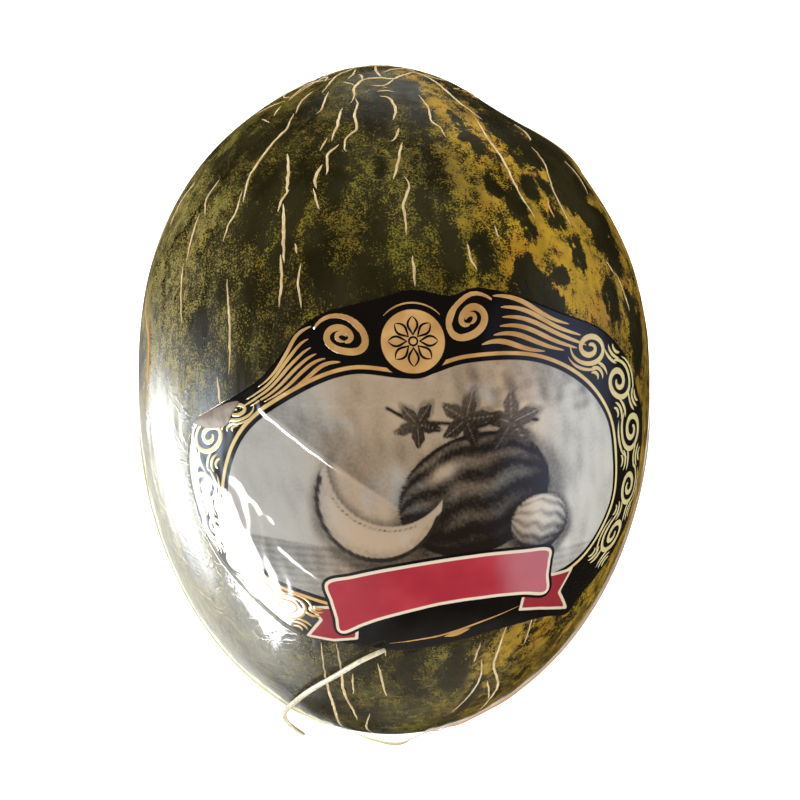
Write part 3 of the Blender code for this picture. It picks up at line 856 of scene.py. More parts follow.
def make_scar(name, rings, station, lean, outward, seed):
    """A corky button turned about Y: radius and height rings through a smooth curve, with radial splits."""
    route = smooth_route(rings, 6)
    angle = np.linspace(0, 2 * math.pi, SCAR_SIDES, endpoint=False)[None, :]
    radius = np.maximum(route[1:, :1], 1e-5)
    height = route[1:, 1:]
    uneven = waves([radius * np.cos(angle), radius * np.sin(angle)], 10, 0.006, 0.0012, seed)
    splits = np.abs(np.sin(angle * 4.5 + 30 * radius / 0.005)) ** 6
    height = height + 0.00022 * uneven - 0.00025 * splits * bell(radius - 0.0035, 0.0016)
    points = np.stack([lean + radius * np.sin(angle) * (1 + 0.05 * np.sin(3 * angle)),
                       station + outward * height,
                       AXIS_HEIGHT + radius * np.cos(angle)], axis=-1)
    rows = len(route) - 1
    count = rows * SCAR_SIDES
    root = np.array([[lean, station - outward * 0.004, AXIS_HEIGHT]])
    middle = np.array([[lean, station + outward * route[0, 1], AXIS_HEIGHT]])
    triangles = end_fans(count, SCAR_SIDES, count + 1, count)
    piece = new_piece(name, np.vstack([points.reshape(-1, 3), root, middle]),
                      grid_quads(rows, SCAR_SIDES), triangles, flip=outward > 0)
    note(piece, "across", np.concatenate([(radius / 0.0066 + 0 * angle).ravel(), [1, 0]]))
    note(piece, "warm", np.full(count + 2, 0.25))
    piece.data.materials.append(bpy.data.materials["pale_cork"])


def polar_reach(outline, angle):
    """How far a closed outline lies from the sheet's centre, at each angle round it."""
    offset = np.asarray(outline) - SHEET_CENTRE
    turned = np.arctan2(offset[:, 1], offset[:, 0])
    order = np.argsort(turned)
    return np.interp(angle, turned[order], np.hypot(offset[order, 0], offset[order, 1]), period=2 * math.pi)


def smooth_outline(places, steps=10):
    """A closed smooth curve on the unrolled sheet through places on the skin."""
    return smooth_route(unrolled(places), steps, closed=True)


LABEL_EDGE = smooth_outline(LABEL_OUTLINE)
FILM_EDGE = smooth_outline(FILM_OUTLINE)
PANEL_EDGE = smooth_outline(PANEL_OUTLINE)
MEDALLION_AT = unrolled([MEDALLION])[0]

# folds of the sheet: from, to, height in mm, width in mm before and behind the fold line
FOLDS = (
    ((-27, 13.9), (-4.8, -9.8), 0.52, 0.70, 4.0),
    ((-18.8, 16.2), (1.2, 17.6), 0.26, 0.5, 2.5),
    ((-18.0, 24.0), (-16.0, 6.0), 0.28, 1.2, 1.6),
    ((-12.0, 20.0), (-5.0, 4.0), 0.20, 1.2, 2.5),
    ((-22.0, 14.0), (-14.0, 7.0), 0.22, 0.8, 1.4),
    ((-34.0, -8.0), (-18.0, -30.0), 0.22, 1.6, 4.0),
    ((-40.0, -2.0), (-28.0, -38.0), 0.22, 2.0, 3.0),
    ((-24.0, -30.0), (-12.0, -44.0), 0.22, 1.2, 3.0),
    ((-30.0, 26.0), (-24.0, 8.0), 0.35, 1.4, 2.0),
    ((-46.0, 2.0), (-34.0, -20.0), 0.35, 1.4, 2.4),
    ((36.0, 26.0), (28.0, -4.0), 0.18, 1.6, 3.5),
    ((24.0, 24.0), (20.0, 4.0), 0.14, 2.0, 3.0),
    ((60.0, 20.0), (52.0, -14.0), 0.16, 1.8, 3.0),
)


# soft waves all over the sheet and finer ones on its left side: height, and longest and shortest in mm
SOFT_WAVE = 0.10
SOFT_LENGTHS = (38.0, 9.0)
LEFT_WAVE = 0.09
LEFT_LENGTHS = (11.0, 3.5)


def fold_frame(start, end, across, along):
    """How far along a fold a place lies, as a share of its length, and how far aside in mm."""
    (ax, ay), (bx, by) = unrolled([start, end])
    length = math.hypot(bx - ax, by - ay)
    ux, uy = (bx - ax) / length, (by - ay) / length
    run = ((across - ax) * ux + (along - ay) * uy) / length
    return run, (across - ax) * -uy + (along - ay) * ux


def crumple(across, along):
    """How far the sheet's creases and soft waves lift it, in metres.

    A fold is a ridge along a line, a bell curve of unlike widths on its two sides, that dies away
    towards both ends. The soft waves are seeded sines.
    """
    left = step(-across, 25, 60)
    total = SOFT_WAVE * (1 + waves([across, along * 0.7], 12, *SOFT_LENGTHS, SEED + 2))
    total = total + LEFT_WAVE * left * (1 + waves([across, along * 0.5], 12, *LEFT_LENGTHS, SEED + 3))
    for start, end, height, front, behind in FOLDS:
        run, aside = fold_frame(start, end, across, along)
        aside = aside + 0.4 * np.sin(run * 4.0) + 0.10 * np.sin(run * 31.0)
        ridge = np.where(aside < 0, bell(aside, front), bell(aside, behind))
        total = total + height * ridge * step(run, -0.12, 0.10) * step(1 - run, -0.15, 0.50)
    return total / 1000


def print_top(across, along):
    """How high the printed sheet's upper face lies over the rind."""
    rim = np.maximum(side_distance(LABEL_EDGE, across, along), 0)
    return PRINT_LIFT + PRINT_THICKNESS + crumple(across, along) * step(rim, 0.0, 5.0)


def make_sheet():
    """The printed sheet: rings from its centre out to its outline, with a rim and an underside.

    A point is centre + share * reach(angle), wrapped on the rind at print_top.
    """
    angle = np.linspace(-math.pi, math.pi, SHEET_AROUND, endpoint=False)[None, :]
    reach = polar_reach(LABEL_EDGE, angle)
    share = (np.arange(1, SHEET_RINGS + 1) / SHEET_RINGS)[:, None]
    across = SHEET_CENTRE[0] + share * reach * np.cos(angle)
    along = SHEET_CENTRE[1] + share * reach * np.sin(angle)
    top = on_sheet(across, along, print_top(across, along))
    under_rows = np.array([SHEET_RINGS - 1, SHEET_RINGS * 3 // 4, SHEET_RINGS // 2, SHEET_RINGS // 4, 2])
    under = on_sheet(across[under_rows], along[under_rows], PRINT_LIFT)
    centre_x, centre_y = np.full(2, SHEET_CENTRE[0]), np.full(2, SHEET_CENTRE[1])
    centre_lifts = np.array([print_top(centre_x, centre_y)[0], PRINT_LIFT])
    middle = on_sheet(centre_x, centre_y, centre_lifts)
    rows = SHEET_RINGS + len(under_rows)
    count = rows * SHEET_AROUND
    triangles = end_fans(count, SHEET_AROUND, count, count + 1)
    points = np.vstack([top.reshape(-1, 3), under.reshape(-1, 3), middle])
    piece = new_piece("printed_sheet", points, grid_quads(rows, SHEET_AROUND), triangles,
                      ["printed_label"], flip=True)

    x, y = across.ravel(), along.ravel()

    def everywhere(values):
        """Values of the top, repeated on the underside and for the two middles."""
        rows = values.reshape(SHEET_RINGS, SHEET_AROUND)
        below = rows[under_rows]
        return np.concatenate([rows.ravel(), below.ravel(), rows[0, :1], rows[0, :1]])

    tails = np.maximum(side_distance(unrolled(LEFT_TAIL), x, y), side_distance(unrolled(RIGHT_TAIL), x, y))
    note(piece, "panel_in", everywhere(side_distance(PANEL_EDGE, x, y)))
    note(piece, "banner_in", everywhere(side_distance(smooth_outline(BANNER_OUTLINE, 6), x, y)))
    note(piece, "tails_in", everywhere(tails))
    note(piece, "medallion_out", everywhere(np.hypot(x - MEDALLION_AT[0], y - MEDALLION_AT[1])))
    note(piece, "tone", everywhere(still_life(x, y)))
    place = np.stack([everywhere(x), everywhere(y), np.zeros(count + 2)], axis=-1)
    note(piece, "sheet_place", place / 1000)
    piece.data.materials.append(print_material())


def oval(x, y, middle, half, turn):
    """Distance from an oval's centre as a share of its own size, with its turned and scaled places."""
    c, s = math.cos(math.radians(turn)), math.sin(math.radians(turn))
    u = ((x - middle[0]) * c + (y - middle[1]) * s) / half[0]
    v = (-(x - middle[0]) * s + (y - middle[1]) * c) / half[1]
    return np.hypot(u, v), u, v


def lay(tone, cover, above):
    """Paints one tone over another by a cover of nought to one."""
    return tone * (1 - cover) + above * cover


def vine_leaf(tone, x, y, middle, size, turn):
    """A five-lobed leaf: radius 0.72 + 0.24 cos(5a) + 0.05 cos(15a + 0.6), veined along its lobes."""
    d, u, v = oval(x, y, middle, (size, size), turn)
    a = np.arctan2(v, u)
    edge = 0.72 + 0.24 * np.cos(5 * a) + 0.05 * np.cos(15 * a + 0.6)
    cover = step(edge - d, -0.03, 0.05)
    vein = bell(np.sin(2.5 * a) * d, 0.035) * step(d, 0.05, 0.2)
    ribs = bell(np.sin(16 * d + 3 * np.cos(5 * a)), 0.3) * 0.05
    shading = 0.22 + 0.10 * (u + v) * 0.6 + ribs + 0.22 * vein
    shadow = step(edge + 0.10 - np.hypot(u - 0.10, v + 0.12), -0.10, 0.12)
    return lay(lay(tone, 0.35 * shadow, 0.10), cover, np.clip(shading, 0.02, 0.6))


def round_melon(tone, x, y, middle, half, turn, base, stripes, contrast):
    """A shaded whole melon: light from the upper left, stripes along its length, a soft shadow below."""
    d, u, v = oval(x, y, middle, half, turn)
    cover = step(1 - d, -0.012, 0.02)
    dome = np.sqrt(np.clip(1 - d * d, 0, 1))
    lamp = np.clip(0.30 + 0.62 * dome - 0.34 * u * 0.6 + 0.38 * v, 0.08, 1.2)
    bend = v / np.maximum(np.sqrt(np.clip(1 - u * u, 0.03, 1)), 0.1)
    stripe = 0.5 + 0.5 * np.sin(stripes * np.arcsin(np.clip(bend, -1, 1)) + 0.7 * np.sin(9 * u))
    flecks = 0.10 * waves([x, y], 14, 5.0, 1.2, 77)
    body = (base + contrast * (stripe - 0.5) + flecks * contrast * 2) * lamp
    gloss = 0.35 * bell(np.hypot(u + 0.35, v - 0.52), 0.16)
    shadow = step(1.16 - np.hypot(u - 0.10, v + 0.16), -0.14, 0.16)
    return lay(lay(tone, 0.55 * shadow, 0.08), cover, np.clip(body + gloss, 0.02, 0.95))


def melon_wedge(tone, x, y, middle, size, turn):
    """A cut crescent: pale flesh between a rind arc, 1 - d, and an inner arc of radius 0.98 moved up 0.62."""
    d, u, v = oval(x, y, middle, (size, size), turn)
    hollow = np.hypot(u, v - 0.62) - 0.98
    inside = step(1 - d, -0.01, 0.02) * step(hollow, -0.01, 0.02)
    flesh = 0.90 - 0.30 * step(d, 0.62, 0.90) + 0.05 * waves([x, y], 8, 6.0, 1.5, 78)
    around = np.arctan2(u, 0.62 - v)
    seeds = bell(np.hypot((((around * 13) + 0.5) % 1 - 0.5) * 0.8, (hollow - 0.075) * 16.0), 0.22)
    inner = lay(flesh, step(d, 0.91, 0.94), 0.16)
    inner = lay(inner, step(0.13 - hollow, 0.0, 0.03), 0.66)
    inner = lay(inner, seeds * step(0.75 - np.abs(around), 0, 0.1), 0.22)
    shadow = step(1.12 - np.hypot(u - 0.06, v + 0.10), -0.10, 0.12) * step(hollow + 0.1, -0.1, 0.1)
    return lay(lay(tone, 0.5 * shadow, 0.10), inside, inner)


def fold_shade(x, y):
    """The soft shadow on the upper right side of the sheet's long diagonal fold."""
    run, aside = fold_frame(*FOLDS[0][:2], x, y)
    return step(aside, 0.0, 1.2) * step(24 - aside, 0, 20) * step(run, -0.1, 0.1) * step(1.5 - run, 0, 0.5)


# the still life's vine, in mm on the unrolled sheet, and its leaves: middle, size and turn in degrees
VINE = ((-2, 16), (6, 12), (16, 11), (26, 9.5), (35, 12), (46, 10))
LEAVES = (((37, 10), 10, 20), ((22, 12), 9, 75), ((7, 11), 7.5, 130))


def still_life(x, y):
    """Tones of the panel's soft sepia picture: two melons, a cut wedge and vine leaves on a board."""
    wash = waves([x, y * 0.8], 14, 46.0, 12.0, 71)
    haze = waves([x, y * 0.6], 14, 14.0, 4.0, 72)
    tone = 0.65 + 0.06 * wash + 0.06 * haze + 0.05 * step(-x, -5, 45) + 0.08 * step(-y - 0.4 * x, 10, 60)
    thicket = step(y + 0.5 * waves([x, y], 10, 16.0, 4.0, 73) * 14, 8, 26) * step(x, 4, 40)
    tone = lay(tone, 0.55 * thicket, 0.30 + 0.12 * haze)
    board = step(-y - 0.06 * x, 29.0, 30.2)
    planks = 0.50 + 0.035 * np.sin(y * 2.6 + 0.4 * np.sin(x * 0.11)) + 0.05 * haze
    tone = lay(tone, board, planks)
    tone = round_melon(tone, x, y, (26, -12), (25, 19.5), 14, 0.24, 13, 0.20)
    tone = lay(tone, bell(line_distance(smooth_route(VINE, 8), x, y), 0.6), 0.10)
    tone = round_melon(tone, x, y, (49, -23), (11, 9.5), -12, 0.62, 13, 0.30)
    tone = melon_wedge(tone, x, y, (-5, -13), 20, -18)
    for leaf in LEAVES:
        tone = vine_leaf(tone, x, y, *leaf)
    # painted shadow: the picture darkened on one side of the sheet's long fold
    return np.clip(tone * (1 - 0.30 * fold_shade(x, y)), 0.02, 0.98)


# half the width in mm over which one printed colour gives way to the next
PRINT_SOFTNESS = 0.10

# colours of the print: the pairs are a tone's dark and light end, or the two ends of a drift
INK = (0.0042, 0.0032, 0.0030)
BLACK_INK = ((0.004, 0.003, 0.003), (0.009, 0.007, 0.006))
SEPIA = ((0.012, 0.008, 0.006), (0.410, 0.305, 0.208))
COOL_SEPIA = ((0.012, 0.010, 0.009), (0.392, 0.382, 0.352))
TAN_GOLD = ((0.440, 0.235, 0.075), (0.560, 0.330, 0.120))
# pale gold for both sides of the border: a painted highlight on the printed gold
HIGHLIT_SIDE_GOLD = (0.760, 0.660, 0.330)
TAIL_EDGE = (0.60, 0.50, 0.38)
TAIL_RED = (0.235, 0.020, 0.030)
BANNER_EDGE = (0.66, 0.56, 0.44)
BANNER_RED = ((0.310, 0.022, 0.036), (0.390, 0.035, 0.050))
# the banner's paler right part: a painted sheen
BANNER_SHEEN = (0.52, 0.45, 0.52)
SHEET_BACK = ((0.185, 0.140, 0.105), (0.255, 0.200, 0.150))


def print_gloss(r, shader, place):
    """The sheet's clear gloss over a print, with its crinkles."""
    crinkle = r.use(CRINKLE, place=place, scale=42.0, crease=0.0)
    r.give(shader, {
        "Specular IOR Level": 0.45,
        "Coat Weight": 1.0,
        "Coat Roughness": 0.05,
        "Normal": r.bump(crinkle["Height"], 0.45, 0.0018),
    })


def picture_colour(r, place, stain, slant):
    """The still life's tones in sepia, cooler at both sides and where it is stained, paler past a slant;
    the paler, cooler right side is a painted reflection.
    """
    grainy = r.noise(place, 900.0, 2.0, 0.6)
    tone = r.add(r.read("tone"), r.swing(grainy, 0.18), r.swing(stain, 0.26))
    warm = r.blend(r.ramp(tone, 0.10, 0.80), *SEPIA)
    cool = r.blend(r.ramp(tone, 0.10, 0.80), *COOL_SEPIA)
    sides = r.ramp(r.apart(r.parts(place)[0], 0.012), 0.022, 0.046)
    picture = r.blend(r.maths("MAXIMUM", sides, r.ramp(stain, 0.52, 0.72)), warm, cool)
    # painted reflection: the picture made paler past a slant on its right
    return r.shade(picture, r.ramp(slant, 0.034, 0.042, 1.0, 1.38))


def print_material():
    """Glossy printed plastic: sepia picture, black border with gold lines, a red banner edged with cream,
    its right part paler with a painted sheen.
    """
    material, r, shader = new_material("printed_plastic")
    place = r.read("sheet_place", "Vector")
    panel = r.read("panel_in")
    medallion = r.read("medallion_out")
    banner = r.read("banner_in")
    tails = r.read("tails_in")
    x, y, _ = r.parts(place)

    def over(value, low):
        """One above low, with a soft edge."""
        return r.ramp(value, low - PRINT_SOFTNESS, low + PRINT_SOFTNESS, smooth=False)

    def band(value, low, high):
        """One between low and high, with soft edges."""
        below_high = r.ramp(value, high - PRINT_SOFTNESS, high + PRINT_SOFTNESS, 1.0, 0.0, smooth=False)
        return r.times(over(value, low), below_high)

    stain = r.noise(place, 38.0, 3.0, 0.55)
    slant = r.add(x, r.times(y, 0.35))
    gold = gold_colour(r, place)
    colour = r.blend(over(panel, 0.0), INK, picture_colour(r, place, stain, slant))
    colour = r.blend(band(panel, -2.7, -1.5), colour, gold)
    colour = r.blend(band(medallion, 0.0, MEDALLION_RIM), colour, INK)
    disc = r.ramp(medallion, MEDALLION_DISC - PRINT_SOFTNESS, MEDALLION_DISC + PRINT_SOFTNESS, 1.0, 0.0)
    colour = r.blend(disc, colour, gold)
    colour = r.blend(over(tails, -0.35), colour, TAIL_EDGE)
    colour = r.blend(over(tails, 0.75), colour, TAIL_RED)
    colour = r.blend(over(banner, -2.2), colour, INK)
    colour = r.blend(over(banner, -1.1), colour, BANNER_EDGE)
    red = r.blend(r.ramp(stain, 0.35, 0.65), *BANNER_RED)
    # painted sheen: the banner's red turns paler past a slant, as if lit
    sheen = r.ramp(slant, 0.018, 0.030, 0.0, 0.20)
    colour = r.blend(over(banner, 0.0), colour, r.blend(sheen, red, BANNER_SHEEN))
    r.give(shader, {"Base Color": colour, "Roughness": r.ramp(stain, 0.3, 0.7, 0.10, 0.20)})
    print_gloss(r, shader, place)
    return material


def gold_colour(r, place):
    """Printed gold: tan gold at the top of the sheet, painted paler and yellower towards both sides as a
    highlight where the gold catches the light.
    """
    out = r.apart(r.parts(place)[0], 0.010)
    sheen = r.noise(place, 120.0, 2.0)
    tan = r.blend(r.ramp(sheen, 0.35, 0.65), *TAN_GOLD)
    # painted highlight: paler, yellower gold towards both sides
    return r.blend(r.ramp(out, 0.030, 0.085), tan, HIGHLIT_SIDE_GOLD)


def black_colour(r, place):
    """Printed black, a little uneven."""
    return r.blend(r.noise(place, 400.0), *BLACK_INK)


def ink_material(name, colour_of, metal):
    """A printed ink with the sheet's gloss; colour_of gives its colour from the recipe and the place."""
    material, r, shader = new_material(name)
    place = r.read("sheet_place", "Vector")
    rough = r.ramp(r.noise(place, 260.0, 2.0), 0.3, 0.7, 0.12, 0.24)
    r.give(shader, {"Base Color": colour_of(r, place), "Roughness": rough, "Metallic": metal})
    print_gloss(r, shader, place)
    return material


# the gold ornament's band on the black border: its middle and half its width, in half widths of the border
BAND_MIDDLE = 0.18
BAND_HALF = 0.70


def band_unit(angle):
    """Half the ornament's width at an angle round the sheet's centre, and the border's mean reach there."""
    inner, outer = polar_reach(PANEL_EDGE, angle), polar_reach(LABEL_EDGE, angle)
    return BAND_HALF * (outer - inner) / 2, (outer + inner) / 2


def on_band(angle, x, y):
    """A place on the ornament's band, in its units: x along it from an angle, y across it.

    y runs from -1 by the panel's gold line to 1 near the sheet's edge.
    """
    unit, reach = band_unit(angle)
    turned = angle + x * unit / reach
    near, far = polar_reach(PANEL_EDGE, turned), polar_reach(LABEL_EDGE, turned)
    reach = (near + far) / 2 + 0.5 * (far - near) * (BAND_MIDDLE + BAND_HALF * y)
    x = SHEET_CENTRE[0] + reach * np.cos(turned)
    y = SHEET_CENTRE[1] + reach * np.sin(turned)
    return np.stack([x, y], axis=-1)


def volute(middle, radius, start, turns, tight=0.82):
    """A spiral that winds in: radius * (1 - tight * u^0.85), at angles from start through some turns."""
    u = np.linspace(0, 1, max(10, int(34 * abs(turns))))
    angle = math.radians(start) + 2 * math.pi * turns * u
    reach = radius * (1 - tight * u ** 0.85)
    return np.stack([middle[0] + reach * np.cos(angle), middle[1] + reach * np.sin(angle)], axis=-1)


def plume():
    """A curl as wide as the band, with long feathers that stream from its back and a bud in its eye."""
    strokes = [(volute((0.0, 0.0), 1.04, 48, 1.62, 0.80), 0.155, 0.35)]
    strokes.append((volute((0.0, 0.0), 0.20, 270, 0.75, 0.2), 0.10, 0.6))
    for start, reach in ((128, 0.80), (196, 0.72), (262, 0.66)):
        strokes.append((volute((0.0, 0.0), reach, start, 0.13, 0.14), 0.062, 0.7))
    u = np.linspace(0, 1, 30)
    for number in range(6):
        y = -1.0 + 0.39 * number
        x = math.sqrt(max(1.38 - y * y, 0.10)) + 0.02 + (3.2 - 0.22 * abs(number - 3)) * u
        sway = 0.17 * np.sin(math.pi * (1.7 * u + 0.05)) * (1 - u * 0.3)
        strokes.append((np.stack([x, y * (1 - 0.10 * u) + sway - 0.05], axis=-1), 0.125, 0.5))
    return strokes


def scroll():
    """A curl as wide as the band with a doubled back, and nested leaves in the gaps beside its root."""
    strokes = [(volute((0.0, 0.0), 0.98, 205, 1.85, 0.86), 0.135, 0.35)]
    strokes.append((volute((0.0, 0.0), 1.16, 232, 0.30, 0.04), 0.075, 0.7))
    for side in (-1, 1):
        for reach, sweep in ((0.26, 0.40), (0.52, 0.30), (0.78, 0.20)):
            start = 180 + side * (90 - 180 * sweep)
            strokes.append((volute((1.10, side * 1.06), reach, start, side * sweep, 0.0), 0.082, 0.6))
    return strokes


# gold strokes at the sheet's foot, as longitudes and stations
FOOT_LINE = ((-1, -63), (11, -60.6), (20, -57), (30, -52.6))
FOOT_LEAF = ((12, -61.2), (15, -60.4), (18, -58.9))

# the border's ornament, as angles in degrees round the sheet's centre: where each run of scrolls starts
# and stops, how far apart scrolls are in half widths of the band, and the plumes, mirrored or not
SCROLL_RUNS = ((35, -30), (163, 229))
SCROLL_PITCH = 2.2
PLUMES = ((79, True), (124, False))


def make_strokes(name, strokes, material):
    """Tapered ink strokes on the sheet: flat ribbons with a domed top, closed below and at both ends.

    Each stroke is a path with a half width of width * sin(pi * u)^taper.
    """
    dome = np.array([(-1.0, -0.5), (-0.8, 0.75), (0.0, 1.0), (0.8, 0.75), (1.0, -0.5)])
    points, counts, places = [], [], []
    for path, width, taper in strokes:
        count = len(path)
        u = np.linspace(0.01, 0.99, count)
        half = width * np.sin(math.pi * u) ** taper
        ahead = np.gradient(path, axis=0)
        ahead /= np.maximum(np.linalg.norm(ahead, axis=1, keepdims=True), 1e-9)
        side = np.stack([ahead[:, 1], -ahead[:, 0]], axis=-1)
        offset = dome[None, :, 0] * half[:, None]
        across = path[:, :1] + offset * side[:, :1]
        along = path[:, 1:] + offset * side[:, 1:]
        rise = np.clip(half / 0.4, 0.15, 1)[:, None]
        lift = print_top(across, along) + INK_HEIGHT * rise * dome[None, :, 1]
        points.append(on_sheet(across, along, lift).reshape(-1, 3))
        places.append(np.stack([across.ravel(), along.ravel(), 0 * along.ravel()], axis=-1) / 1000)
        counts.append(count)
    quads, triangles = join_tubes(counts, len(dome))
    piece = new_piece(name, np.vstack(points), quads, triangles)
    note(piece, "sheet_place", np.vstack(places))
    piece.data.materials.append(material)


def border_strokes():
    """The gold ornament of the black border, two strokes at the sheet's foot and the medallion's arc."""
    placed = [(math.radians(degrees), plume(), mirrored, False) for degrees, mirrored in PLUMES]
    for first, last in SCROLL_RUNS:
        way = math.copysign(1, last - first)
        angle = math.radians(first)
        flipped = False
        while (math.radians(last) - angle) * way > 0:
            placed.append((angle, scroll(), way < 0, flipped))
            unit, reach = band_unit(angle)
            angle += way * SCROLL_PITCH * float(unit / reach)
            flipped = not flipped
    strokes = []
    for angle, unit_strokes, mirrored, flipped in placed:
        unit, reach = band_unit(angle)
        for path, width, taper in unit_strokes:
            x = path[:, 0] * (-1 if mirrored else 1)
            y = path[:, 1] * (-1 if flipped else 1)
            local = band_unit(angle + x * unit / reach)[0]
            strokes.append((on_band(angle, x, y), width * local, taper))
    strokes.append((smooth_route(unrolled(FOOT_LINE), 8), 0.45, 0.7))
    strokes.append((smooth_route(unrolled(FOOT_LEAF), 6), 1.1, 0.8))
    arc = np.radians(np.linspace(42, 138, 40))
    strokes.append((MEDALLION_AT + MEDALLION_ARC * np.stack([np.cos(arc), np.sin(arc)], axis=-1), 0.32, 0.4))
    return strokes


def rosette_strokes():
    """A plain eight-petalled rosette with a ring, in ink on the gold medallion."""
    strokes = []
    for number in range(8):
        turn = math.pi / 4 * number
        u = np.linspace(0, 1, 14)
        for bend in (-1, 1):
            reach = 1.8 + 6.0 * u
            angle = turn + bend * 0.30 * np.sin(math.pi * u)
            path = np.stack([reach * np.cos(angle), reach * np.sin(angle)], axis=-1)
            strokes.append((path + MEDALLION_AT, 0.42, 0.5))
    ring = np.linspace(0, 2 * math.pi, 40)
    strokes.append((MEDALLION_AT + 1.3 * np.stack([np.cos(ring), np.sin(ring)], axis=-1), 0.35, 0.05))
    return strokes


# the folded corner: its outline as longitudes and stations, and its lift and swell in metres
FOLDED_CORNER = ((-44.5, 6.3), (-42, 9.0), (-38.8, 11.4), (-35, 14.2), (-32, 15.3), (-33.4, 11.6),
                 (-35, 7.4), (-38.8, 5.6), (-42.5, 5.4))
FOLD_LIFT = 0.00025
FOLD_THICKNESS = 0.00012
FOLD_BULGE = 0.0005
FOLD_WAVE = 0.00012
FOLD_RINGS = 12
FOLD_SIDES = 80


def make_folded_corner():
    """The sheet's unprinted back where its edge is folded over: a thin bulged patch inside an outline."""
    outline = smooth_outline(FOLDED_CORNER, 10)
    middle = outline.mean(axis=0)
    ring = outline[np.linspace(0, len(outline), FOLD_SIDES, endpoint=False).astype(int)]
    share = (np.arange(1, FOLD_RINGS + 1) / FOLD_RINGS)[:, None]
    across = middle[0] + share * (ring[:, 0] - middle[0])[None, :]
    along = middle[1] + share * (ring[:, 1] - middle[1])[None, :]
    base = print_top(across, along) + FOLD_LIFT
    bulge = FOLD_BULGE * (1 - share ** 2) + FOLD_WAVE * waves([across, along], 8, 7.0, 2.2, SEED + 5)
    top = on_sheet(across, along, base + FOLD_THICKNESS + bulge)
    rim = on_sheet(across[-1:], along[-1:], base[-1:] - 0.0001)
    count = (FOLD_RINGS + 1) * FOLD_SIDES
    centre = np.full(2, middle[0]), np.full(2, middle[1])
    tips = on_sheet(*centre, base[0, 0] + np.array([FOLD_THICKNESS + FOLD_BULGE, 0.0]))
    triangles = end_fans(count, FOLD_SIDES, count, count + 1)
    piece = new_piece("folded_corner", np.vstack([top.reshape(-1, 3), rim.reshape(-1, 3), tips]),
                      grid_quads(FOLD_RINGS + 1, FOLD_SIDES), triangles, flip=True)
    piece.data.materials.append(back_material())


def back_material():
    """The sheet's dull brown back, a little stained."""
    material, r, shader = new_material("sheet_back")
    stain = r.noise(r.place(), 240.0, 3.0)
    r.give(shader, {
        "Base Color": r.blend(r.ramp(stain, 0.3, 0.7), *SHEET_BACK),
        "Roughness": r.ramp(stain, 0.3, 0.7, 0.45, 0.60),
        "Normal": r.bump(stain, 0.15, 0.0005),
    })
    return material


def flap_rise(across, station):
    """How far the film's loose lower corner stands off the skin."""
    down = np.clip((-station - FLAP_FROM) / (FLAP_TO - FLAP_FROM), 0, 1)
    degrees = np.degrees(across / (RADIUS * 1000))
    sideways = np.clip(1 - ((degrees - FLAP_LONGITUDE) / FLAP_HALF_WIDTH) ** 2, 0, 1) ** 2
    return FLAP_LIFT * down * down * sideways


def make_margin():
    """The clear margin: rings between the print's outline and the film's, on both faces, joined at the rims.

    A point is centre + inner + gap + share * (outer - inner - gap), wrapped on the rind, with half of
    the print's creases, a rippled edge and the loose corner's rise.
    """
    angle = np.linspace(-math.pi, math.pi, MARGIN_AROUND, endpoint=False)[None, :]
    inner, outer = polar_reach(LABEL_EDGE, angle), polar_reach(FILM_EDGE, angle)
    share = (np.arange(MARGIN_RINGS) / (MARGIN_RINGS - 1))[:, None]
    reach = inner + MARGIN_GAP + share * (outer - inner - MARGIN_GAP)
    across = SHEET_CENTRE[0] + reach * np.cos(angle)
    along = SHEET_CENTRE[1] + reach * np.sin(angle)
    station = profile(math.pi / 2 - along / (STEM_HALF * 1000))[1]
    settled = step(share, 0.0, 0.10) * 0.50
    edge_wave = MARGIN_RIPPLE * step(share, 0.9, 1.0) * (1 + np.sin(angle * 37 + 2 * np.sin(angle * 9)))
    rise = MARGIN_LIFT + crumple(across, along) * settled + edge_wave + flap_rise(across, station)
    top = on_sheet(across, along, rise + MARGIN_THICKNESS)
    under = on_sheet(across, along, rise)[::-1]
    everything = np.concatenate([top, under])
    rows = 2 * MARGIN_RINGS
    quads = np.vstack([grid_quads(rows, MARGIN_AROUND), closing_quads(rows, MARGIN_AROUND)])
    piece = new_piece("clear_margin", everything, quads, [], ["clear_film"], flip=True)
    both = np.concatenate([share + 0 * reach, (share + 0 * reach)[::-1]])
    note(piece, "share", both.ravel())
    depth = side_distance(FILM_EDGE, across, along)
    note(piece, "depth_in", np.concatenate([depth, depth[::-1]]).ravel())
    place = np.stack([across, along, 0 * across], axis=-1) / 1000
    note(piece, "sheet_place", np.concatenate([place, place[::-1]]).reshape(-1, 3))
    piece.data.materials.append(film_material())


def closing_quads(rows, columns):
    """Quads from the last row of a grid back to its first."""
    c = np.arange(columns)
    n = (c + 1) % columns
    last = (rows - 1) * columns
    return np.stack([last + c, last + n, n, c], axis=-1)


FILM_WHITE = (0.93, 0.95, 0.97)
# colours of the painted rim line: lit yellow-green on the left, shaded brown on the right
RIM_LIT_AND_SHADED = ((0.36, 0.36, 0.15), (0.30, 0.18, 0.07))


